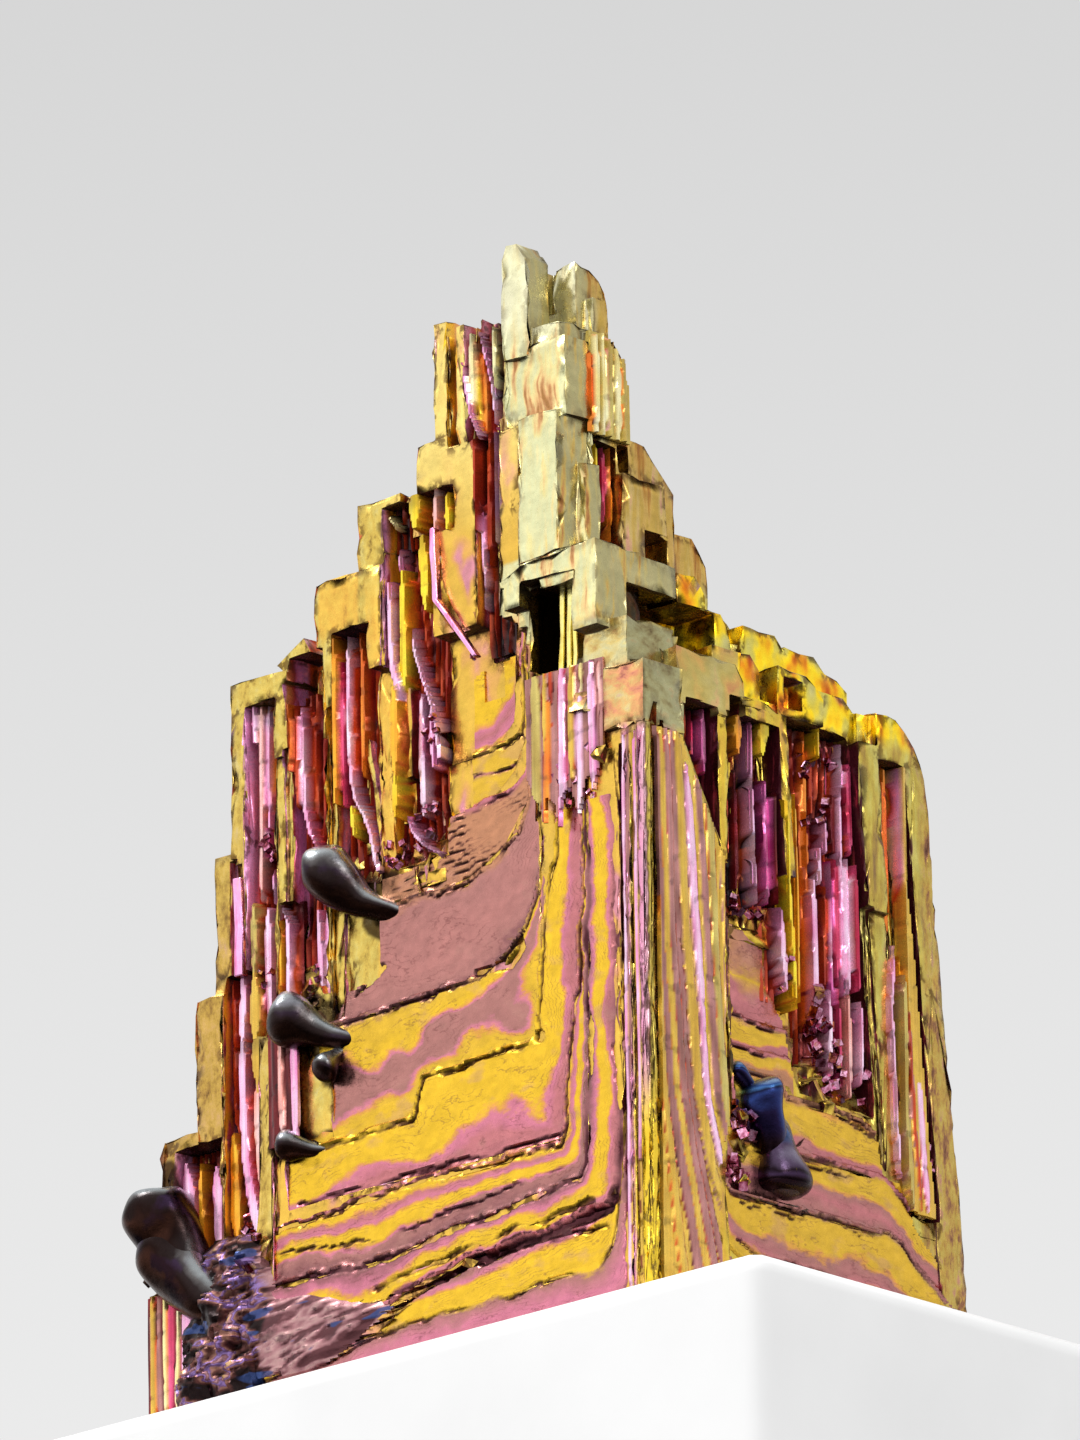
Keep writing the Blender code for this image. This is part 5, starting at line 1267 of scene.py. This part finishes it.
above_block = product(tree, between(tree, exact_up, 34.6, 35.6), between(tree, exact_back, 5.6, 6.2))
on_side = blend(tree, above_block, on_side, bright)
creamy = bands(tree, grain(tree, place, (1.0, 1.0, 8.0), 4.0, 0.55), [
    (0.3, "#8C5434"), (0.38, "#B0803C"), (0.44, "#C8A45C"), (0.52, "#BC9C4C"), (0.6, "#C8AC6C"),
    (0.66, "#D49C84"), (0.75, "#C8A860")])
on_side = blend(tree, between(tree, exact_up, 42.0, 44.0), on_side, creamy)

# channels of the broad face, from the corner outwards
left_run = math_node(tree, "SUBTRACT", left, product(tree, back, BROAD_SLANT[0]))
back_run = math_node(tree, "SUBTRACT", back, product(tree, left, NARROW_SLANT[0]))
broad_deep = bands(tree, left_run, [
    (10.0, "#4C1420"), (10.7, "#C86078"), (10.9, "#F0A0C0"), (11.3, "#A83840"), (11.6, "#FFB030"),
    (12.0, "#B04038"), (12.6, "#E8A0B8"), (13.4, "#F8B428"), (14.2, "#FFD828"), (14.9, "#F0A8D0"),
    (15.6, "#FFD820"), (16.0, "#E888C0"), (16.4, "#902828"), (17.2, "#701820"), (17.6, "#FFC820"),
    (18.3, "#F09830"), (18.7, "#F0A0D4"), (19.2, "#F4B0D8"), (20.2, "#C04030"), (20.9, "#F08C28"),
    (21.3, "#F0A4D8"), (21.9, "#F0A0CC"), (22.1, "#B03848"), (22.5, "#F8A828"), (23.4, "#FFBC28"),
    (23.7, "#E06828"), (24.4, "#D05030"), (24.7, "#F098D4"), (25.3, "#E884C8"), (25.7, "#A83838"),
    (26.2, "#C07840"), (26.4, "#E890D0"), (27.0, "#D8A860"), (27.4, "#F098A8"), (27.7, "#F8A8D8"),
    (28.2, "#F4B090"), (28.5, "#F8A0C8"), (29.2, "#F4A8DC"), (29.6, "#F4A4D0"), (30.1, "#E898C8"),
    (30.6, "#B84838"), (31.1, "#F8B020"), (31.8, "#F0A0D0"), (32.6, "#F4A8D8"), (33.2, "#E89850"),
    (33.8, "#F4A8DC"), (34.6, "#F098C8"), (35.4, "#E8C848"), (36.4, "#E890B8"), (37.5, "#E8C850")])
# channels of the narrow face, from the post backwards
narrow_deep = bands(tree, back_run, [
    (1.0, "#E8B040"), (2.6, "#F4B030"), (3.4, "#A83030"), (3.8, "#D84898"), (4.6, "#E860B8"),
    (5.2, "#902048"), (6.0, "#F4B428"), (6.5, "#F4B838"), (6.8, "#582018"), (7.8, "#682028"),
    (8.3, "#E88CC8"), (8.8, "#F098D4"), (9.1, "#882040"), (9.6, "#D83CA0"), (10.2, "#C83098"),
    (10.8, "#FFD020"), (11.6, "#FFD428"), (12.0, "#D88828"), (12.8, "#C06820"), (13.3, "#F098D0"),
    (13.9, "#F4A8DC"), (14.3, "#C04858"), (15.0, "#D84C98"), (15.8, "#E868B8"), (16.4, "#F090CC"),
    (17.0, "#C83060"), (17.6, "#E89828"), (18.8, "#E8A030"), (19.4, "#F09838"), (19.8, "#F4A8C8"),
    (20.8, "#F4A4D4"), (21.4, "#F08858"), (22.4, "#E8B040"), (24.0, "#D8B048")])
blotch = grain(tree, place, (0.5, 0.5, 3.5), 4.0, 0.6)
broad_deep = blend(tree, between(tree, blotch, 0.56, 0.66), broad_deep, swatch("#B04050"))
narrow_deep = blend(tree, between(tree, blotch, 0.55, 0.66), narrow_deep, swatch("#8C2040"))

# how deep a point lies behind its own face
low_down = between(tree, exact_up, 35.6, 34.9)
channel_area = either(tree, low_down, between(tree, exact_left, 9.9, 10.3))
deep_front = product(tree, front, between(tree, exact_back, 1.75, 1.95), channel_area)
deep_side = product(tree, side, between(tree, exact_left, 1.5, 1.7), channel_area)
in_broad = between(tree, math_node(tree, "SUBTRACT", exact_left, exact_back), -1.0, 0.5)
deep_side_colour = blend(tree, in_broad, narrow_deep, broad_deep)
on_front = blend(tree, deep_front, on_front, broad_deep)
on_side = blend(tree, deep_side, on_side, deep_side_colour)
hall = product(tree, between(tree, exact_up, 34.6, 35.6), between(tree, exact_back, 2.2, 2.6),
               between(tree, exact_left, 10.2, 9.9))
on_front = blend(tree, hall, on_front, blend(tree, between(tree, exact_up, 42.0, 44.0), bright, creamy))
# faces that look up, left or back: the film of each terrace starts from another thickness, so its
# bands are shifted against its neighbour's
soft_up = axes(tree, soft)[2]
backward = between(tree, facing[1], 0.4, 0.6)
leftward = between(tree, product(tree, facing[0], -1.0), 0.4, 0.6)
sideways = product(tree, exact_left, leftward, 0.9)
shift = math_node(tree, "ADD", product(tree, exact_back, backward, 0.9), sideways)
shift = math_node(tree, "ADD", shift, product(tree, grain(tree, place, (9.0, 9.0, 5.0), 2.0), 5.0))
climb = math_node(tree, "ADD", product(tree, soft_up, 0.55), shift)
thickness = math_node(tree, "FLOORED_MODULO", climb, 5.6)
terrace = bands(tree, thickness, [
    (0.0, "#94606A"), (0.4, "#A87470"), (0.8, "#D08AA0"), (1.0, "#D89C50"), (1.25, "#DCB044"),
    (2.3, "#CCB458"), (2.9, "#B8A864"), (3.2, "#D8A058"), (3.4, "#CC8898"), (3.7, "#AC7890"),
    (3.9, "#94809C"), (4.1, "#B08094"), (4.3, "#CC8C94"), (4.5, "#DCA858"), (4.8, "#E0BC54"),
    (5.3, "#C08C54"), (5.6, "#94606A")])
upward = between(tree, facing[2], 0.5, 0.8)
roof = bands(tree, clouds, [
    (0.25, "#8C6470"), (0.36, "#C88890"), (0.42, "#DCA458"), (0.48, "#DEB84C"), (0.62, "#CDB45C"),
    (0.75, "#C4B870")])
other = blend(tree, upward, terrace, roof)
colour = blend(tree, front, other, on_front)
colour = blend(tree, side, colour, on_side)
colour = blend(tree, post_area, colour, low_post)

# %% Pale tower, post stages and bracket
stain_and_crack_shade = grain(tree, pulled(tree, place, 2.0, 0.15), (0.9, 0.9, 6.0), 3.0, 0.5)
pale_front = bands(tree, stain_and_crack_shade, [
    (0.3, "#A87848"), (0.34, "#CC9868"), (0.38, "#E4C488"), (0.44, "#E4D898"), (0.5, "#DAD6A4"),
    (0.57, "#D8D8A8"), (0.64, "#E4DAA4"), (0.72, "#ECD07C")])
pale_side = bands(tree, stain_and_crack_shade, [
    (0.3, "#94603C"), (0.36, "#B88450"), (0.41, "#C8AC60"), (0.47, "#B4A878"), (0.56, "#AEA678"),
    (0.64, "#BCAE74"), (0.7, "#CCAC60"), (0.76, "#B88858")])
crown_light = bands(tree, stain_and_crack_shade, [
    (0.3, "#C8A878"), (0.38, "#DCD0A0"), (0.5, "#E0DCB4"), (0.66, "#E4E0BC"), (0.75, "#E0D090")])
pale_front = blend(tree, between(tree, up, 54.0, 57.0), pale_front, crown_light)
# painted shade: side faces take pale_side, a darker copy of the front's colours
pale = blend(tree, side, pale_front, pale_side)
# painted shade: faces of the pale zones that look down are coloured dark olive
pale = blend(tree, below, pale, swatch("#7C7858"))
crumple = grain(tree, soft, (1.6, 1.6, 1.0), 4.0, 0.6)
peach_front = bands(tree, crumple, [
    (0.3, "#B06C60"), (0.38, "#D89070"), (0.46, "#E0A470"), (0.54, "#DCB474"), (0.64, "#D8C488"),
    (0.75, "#D4A0A0")])
upper_front = bands(tree, crumple, [
    (0.3, "#C89C60"), (0.42, "#DCC47C"), (0.5, "#DCCC90"), (0.62, "#CCC89C"), (0.75, "#E4D084")])
sage_side = bands(tree, crumple, [
    (0.3, "#5C4830"), (0.4, "#90845C"), (0.5, "#A09A70"), (0.62, "#A8A47C"), (0.75, "#B89468")])
peach = blend(tree, side, blend(tree, between(tree, up, 35.0, 35.8), peach_front, upper_front), sage_side)
tower_top = product(tree, between(tree, exact_up, 50.6, 51.4), between(tree, exact_left, 10.3, 10.1))
tower_area = product(tree, between(tree, exact_up, 42.2, 42.6), between(tree, exact_back, 4.2, 3.6),
                     either(tree, between(tree, left, 8.75, 8.45), tower_top))
stage_area = product(tree, between(tree, exact_up, 31.4, 32.2), between(tree, exact_left, 5.4, 4.8),
                     between(tree, exact_back, 4.2, 3.6), between(tree, exact_up, 38.4, 37.8))
shelf_area = product(tree, between(tree, exact_up, 37.8, 38.4), between(tree, exact_up, 43.2, 42.9),
                     between(tree, exact_back, 0.3, 0.1), between(tree, exact_left, 10.4, 10.2))
arm_area = product(tree, between(tree, exact_up, 38.0, 38.4), between(tree, exact_left, 4.8, 4.5),
                   between(tree, exact_up, 43.6, 43.2), between(tree, exact_back, 5.6, 5.2))
colour = blend(tree, stage_area, colour, peach)
colour = blend(tree, either(tree, tower_area, shelf_area, arm_area), colour, pale)
rim = marked(tree, "rim")
nibbled = between(tree, grain(tree, place, (0.7, 0.7, 0.9), 4.0, 0.6), 0.46, 0.56)
# dark brown spots along the rims, in a noise pattern, fewer on the pale zones
rim_spots = product(tree, between(tree, rim, 0.25, 0.9), nibbled)
pale_zone = either(tree, tower_area, shelf_area, arm_area, stage_area)
rim_spot_share = add(tree, "ShaderNodeMapRange", {0: pale_zone, 3: 0.75, 4: 0.35}).outputs[0]
colour = blend(tree, product(tree, rim_spots, rim_spot_share), colour, swatch("#4A2818"))
facet = bands(tree, grain(tree, soft, (2.2, 2.2, 2.2), 3.0), [
    (0.3, "#C88C5C"), (0.4, "#D0A860"), (0.5, "#BCA860"), (0.64, "#C0B070"), (0.75, "#D8A478")])
facet_area = product(tree, between(tree, exact_left, 0.6, 0.5), between(tree, exact_back, 2.6, 2.8),
                     between(tree, exact_back, 8.4, 8.2), between(tree, exact_up, 33.5, 33.9))
colour = blend(tree, facet_area, colour, facet)
shadow = swatch("#2C1014")
colour = blend(tree, product(tree, below, 0.85), colour, shadow)
# points at and around the feet of the drips are coloured dark brown
near_drip = marked(tree, "near_drip")
colour = blend(tree, product(tree, between(tree, near_drip, 0.3, 0.7), 0.9), colour, swatch("#2A1414"))
speckle = between(tree, grain(tree, place, (0.4, 0.4, 0.9), 4.0, 0.7), 0.54, 0.6)
specks = product(tree, speckle, post_area, 0.7)
colour = blend(tree, specks, colour, swatch("#5C4030"))
# painted shade: the hollows under the bracket and under its arm are coloured near black
opening = product(tree, within(tree, exact_up, 36.0, 41.3), within(tree, exact_back, -2.0, 4.9))
mouth = product(tree, within(tree, exact_left, 4.1, 7.8), within(tree, exact_back, -0.6, 5.6))
cave_height = either(tree, within(tree, exact_up, 39.7, 41.3), opening)
cave_depth = either(tree, within(tree, exact_back, 0.45, 7.4), mouth)
cave = product(tree, within(tree, exact_left, 2.7, 8.6), cave_height, cave_depth)
cave_shade_tone = bands(tree, mottle, [(0.3, "#060202"), (0.5, "#200C06"), (0.62, "#4C2410"), (0.75, "#7C3C28")])
colour = blend(tree, product(tree, cave, 0.93), colour, cave_shade_tone)
finish_film(tree, shader, place, colour)
neither = product(tree, math_node(tree, "SUBTRACT", 1.0, front), math_node(tree, "SUBTRACT", 1.0, side))
dull = either(tree, neither, deep_front, deep_side)
metal = add(tree, "ShaderNodeMapRange", {0: dull, 1: 0.0, 2: 1.0, 3: 1.0, 4: 0.45}).outputs[0]
tree.links.new(metal, shader.inputs["Metallic"])
coat(skin, film)
print("film nodes:", len(tree.nodes))

# %% [markdown]
# Six more films. The strips are rose and gold and the small crystals run from dark to pink, both
# with painted shade under them; the combs show the colours that their points keep, painted shade
# and highlights included; the drips carry a thick dark film with a painted highlight on top and
# painted shade below; and the crumpled skin goes from rose brown to violet and blue, with painted
# shade in its creases.

# %% Films of the strips, small crystals, combs, drips and crumpled skin
def plain_film(name, cell, stops, ripple=0.2, gloss=(0.16, 0.36)):
    """A film whose colour changes with soft blotches of one size, with painted shade on faces that look
    down.
    """
    material, tree, shader, place, facing = start_film(name)
    colour = bands(tree, grain(tree, place, cell, 4.0, 0.6), stops)
    # painted shade: faces that look down are coloured dark magenta
    below = between(tree, product(tree, facing[2], -1.0), 0.4, 0.8)
    colour = blend(tree, product(tree, below, 0.7), colour, swatch("#5C2038"))
    finish_film(tree, shader, place, colour, ripple, gloss)
    return material


rose = plain_film("rose_oxide_film", (0.7, 0.7, 4.0), [
    (0.28, "#C04C80"), (0.4, "#E88CC0"), (0.5, "#F8B4E4"), (0.6, "#F4A8D8"), (0.7, "#F8C0B8"),
    (0.8, "#E0A0E0")])
gold = plain_film("gold_oxide_film", (0.8, 0.8, 3.0), [
    (0.28, "#C89030"), (0.38, "#E8C850"), (0.48, "#F4E484"), (0.62, "#F8ECA0"), (0.75, "#D8D070")])
crumb_film = plain_film("small_crystal_film", (0.9, 0.9, 0.9), [
    (0.3, "#24100C"), (0.4, "#74303C"), (0.48, "#C87898"), (0.54, "#ECB0D0"), (0.6, "#8C4C50"),
    (0.68, "#D89C58"), (0.8, "#E8C060")], 0.1, (0.1, 0.25))
for piece, skin_film in ((rose_strips, rose), (gold_strips, gold), (crumbs, crumb_film)):
    coat(piece, skin_film)

# combs: each point keeps the colour of its rib, with the painted shade and painted highlights laid into it
channel, tree, shader, place, facing = start_film("channel_oxide_film")
tint = add(tree, "ShaderNodeAttribute", attribute_name="tint").outputs["Color"]
finish_film(tree, shader, place, tint, 0.1, (0.2, 0.34))
shader.inputs["Metallic"].default_value = 0.5
for piece in (broad_combs, narrow_combs):
    coat(piece, channel)

# dark drips with painted light: lighter where a point faces up, darker where it faces sideways
# or down, and blue and violet ones on the narrow face
dark, tree, shader, place, facing = start_film("drip_oxide_film")
exact_left, exact_back, exact_up = axes(tree, place)
far = between(tree, exact_left, 32.0, 34.0)
# painted highlight and painted shade: the colour follows how far each point faces up
upward_light = math_node(tree, "ADD", facing[2], product(tree, grain(tree, place, (1.6, 1.6, 1.6), 3.0), 0.5))
upward_light = math_node(tree, "SUBTRACT", upward_light, product(tree, far, 0.3))
shaded_grey = bands(tree, upward_light, [
    (-1.0, "#1C0C08"), (-0.3, "#3C241C"), (-0.05, "#201412"), (0.25, "#2C2424"), (0.42, "#5C5858"),
    (0.62, "#94989A"), (0.9, "#C4CCD0"), (1.5, "#E0E6E8")])
blue = bands(tree, upward_light, [
    (-1.0, "#141226"), (0.0, "#241C3C"), (0.2, "#2C3C74"), (0.36, "#1C1C34"), (0.5, "#446CA4"),
    (0.62, "#34508C"), (0.85, "#8CA8CC"), (1.5, "#C8D4E8")])
plum = bands(tree, upward_light, [
    (-1.0, "#1C1018"), (0.0, "#24161C"), (0.25, "#3C2C44"), (0.4, "#20161C"), (0.55, "#54445C"),
    (0.8, "#8C8498"), (1.5, "#D8D4DC")])
tints = grain(tree, place, (1.8, 1.8, 1.8), 3.0)
low_tint = blend(tree, between(tree, tints, 0.5, 0.62), shaded_grey, plum)
colour = blend(tree, either(tree, far, 0.35), shaded_grey, low_tint)
side_colour = blend(tree, between(tree, exact_up, 10.2, 11.2), plum, blue)
colour = blend(tree, between(tree, exact_left, 6.0, 4.0), colour, side_colour)
finish_film(tree, shader, place, colour, 0.3, (0.2, 0.42))
coat(drips, dark)

# crumpled skin
violet, tree, shader, place, facing = start_film("crumpled_oxide_skin")
fold_value = marked(tree, "fold")
knot_value = marked(tree, "knot")
# painted shade and highlight: creases, where the fold value is low, are coloured darker, and fold crests
# lighter
tone = math_node(tree, "ADD", fold_value, product(tree, grain(tree, place, (1.3, 1.3, 0.8), 4.0, 0.6), 0.7))
sheet_tone = bands(tree, tone, [
    (0.5, "#5C3438"), (0.75, "#A07074"), (0.95, "#B88C8C"), (1.1, "#BC9490"), (1.2, "#A0747C"),
    (1.35, "#D0ACA4"), (1.5, "#D8B890")])
knot_tone = bands(tree, tone, [
    (0.45, "#1C0C0C"), (0.66, "#5C3430"), (0.8, "#946858"), (0.9, "#6C4C80"), (0.98, "#9478B4"),
    (1.06, "#744850"), (1.16, "#B88890"), (1.28, "#D0A468"), (1.5, "#E8C8B4")])
patch = between(tree, grain(tree, place, (3.4, 3.4, 0.9), 2.0), 0.63, 0.67)
colour = blend(tree, between(tree, knot_value, 0.35, 0.6), sheet_tone, knot_tone)
colour = blend(tree, product(tree, patch, 0.85), colour, swatch("#34487C"))
finish_film(tree, shader, place, colour, 0.3, (0.26, 0.46))
shader.inputs["Metallic"].default_value = 0.75
coat(crumpled, violet)

# %% [markdown]
# The stand. In a studio the crystal's foot is hidden by a pale block in front of it. A plain plaster
# plinth does that here. It is stage, not part of the crystal: a cube scaled to size with a soft edge.

# %% Plinth
PLINTH_FRONT = 3.7
PLINTH_SIDE = 10.8
bpy.ops.object.select_all(action="DESELECT")
bpy.ops.mesh.primitive_cube_add(size=1)
plinth = bpy.context.object
plinth.name = "plinth"
low = spot(300, -PLINTH_FRONT, -120)
high = spot(-PLINTH_SIDE, 300, 0)
plinth.scale = (high - low)
plinth.location = (high + low) / 2
bpy.ops.object.transform_apply()
bevel = plinth.modifiers.new("edge", "BEVEL")
bevel.width = 1.2 * MM
bevel.segments = 4
bpy.ops.object.modifier_apply(modifier="edge")
bpy.ops.object.shade_smooth_by_angle(angle=math.radians(40))
# plaster: almost white, with faint clouds and a fine sandy bump
stone, tree, shader = new_material("plinth_plaster")
shader.inputs["Roughness"].default_value = 0.8
where = add(tree, "ShaderNodeTexCoord").outputs["Object"]
grainy = add(tree, "ShaderNodeTexNoise", {"Vector": where, "Scale": 90.0, "Detail": 6.0})
chalk = add(tree, "ShaderNodeMapRange", {0: grainy.outputs[0], 1: 0.3, 2: 0.7, 3: 0.86, 4: 0.92})
tree.links.new(chalk.outputs[0], shader.inputs["Base Color"])
sand = add(tree, "ShaderNodeBump", {"Strength": 0.1, "Distance": 0.0002, "Height": grainy.outputs[0]})
tree.links.new(sand.outputs[0], shader.inputs["Normal"])
plinth.data.materials.append(stone)

# %% [markdown]
# The eye. The crystal is seen from far off with a long lens, a little from below, so that its
# upright edges stay almost parallel and the tower rises against the plain wall behind it.

# %% Camera
HEADING = math.radians(42.9)
TILT = math.radians(18.0)
ROLL = math.radians(0.85)
DISTANCE = 733.0  # millimetres from the eye to the post
FOCAL_LENGTH = 14000  # in pixels of the frame
FRAME_WIDTH, FRAME_HEIGHT = 1080, 1440
POST_FOOT_PIXEL = (652, 1300)
FILM_HEIGHT = 24
raised = Matrix.Rotation(math.radians(90) + TILT, 3, "X")
turn = Matrix.Rotation(HEADING, 3, "Z") @ raised @ Matrix.Rotation(-ROLL, 3, "Z")
side, rise, behind = turn.col
pixel = DISTANCE / FOCAL_LENGTH
across = (POST_FOOT_PIXEL[0] - FRAME_WIDTH / 2) * pixel
down = (POST_FOOT_PIXEL[1] - FRAME_HEIGHT / 2) * pixel
camera_data = bpy.data.cameras.new("camera")
camera_data.sensor_fit = "VERTICAL"
camera_data.sensor_height = FILM_HEIGHT
camera_data.lens = FILM_HEIGHT * FOCAL_LENGTH / FRAME_HEIGHT
camera_data.clip_start = 0.05
camera_data.clip_end = 20
camera = bpy.data.objects.new("camera", camera_data)
bpy.context.scene.collection.objects.link(camera)
camera.location = spot(0, 0, 0) + (behind * DISTANCE - side * across + rise * down) * MM
camera.rotation_euler = turn.to_euler()
bpy.context.scene.camera = camera

# %% [markdown]
# Light. A metal shows what it mirrors, so the studio itself is the main lamp: a pale room, grey
# behind the crystal, with three bright walls that its faces mirror to the eye. Two small square
# lamps add highlights.

# %% Light
world = bpy.data.worlds.new("studio")
bpy.context.scene.world = world
world.use_nodes = True
sky = world.node_tree
background = sky.nodes["Background"]
direction = add(sky, "ShaderNodeTexCoord").outputs["Generated"]
height = axes(sky, direction)[2]
shade = bands(sky, height, [
    (-1.0, "#404040"), (-0.3, "#707070"), (-0.02, "#F0F0F0"), (0.25, "#EDEDED"), (0.37, "#D4D4D4"),
    (0.6, "#D8D8D8"), (1.0, "#E4E4E4")])


def bright_wall(aim, narrowest, widest, gain):
    """Extra light from the room's wall in one direction."""
    toward = add(sky, "ShaderNodeVectorMath", {0: direction, 1: Vector(aim).normalized()},
                 operation="DOT_PRODUCT")
    return math_node(sky, "MULTIPLY", between(sky, toward.outputs["Value"], narrowest, widest), gain)


walls = math_node(sky, "ADD", bright_wall((-0.65, -0.70, 0.30), 0.3, 0.85, 0.55),
                  bright_wall((0.72, 0.60, 0.34), 0.45, 0.9, 0.28))
walls = math_node(sky, "ADD", walls, bright_wall((0.3, -0.9, 0.5), 0.5, 0.95, 0.35))
strength = math_node(sky, "ADD", walls, 1.0)
sky.links.new(shade, background.inputs["Color"])
sky.links.new(strength, background.inputs["Strength"])


LAMP_DISTANCE = 0.6
LAMP_SIZE = 0.16


def softbox(name, aim, power):
    """A square white lamp that faces the crystal from the direction aim."""
    data = bpy.data.lights.new(name, "AREA")
    data.size = LAMP_SIZE
    data.energy = power
    lamp = bpy.data.objects.new(name, data)
    bpy.context.scene.collection.objects.link(lamp)
    middle = Vector((0, 0, 0.03))
    lamp.location = middle + Vector(aim).normalized() * LAMP_DISTANCE
    lamp.rotation_euler = (lamp.location - middle).to_track_quat("Z", "Y").to_euler()


softbox("key", (-0.45, -0.6, 1.0), 1.6)
softbox("side", (1.0, -0.3, 0.5), 0.8)

bpy.context.scene.view_settings.view_transform = "Standard"
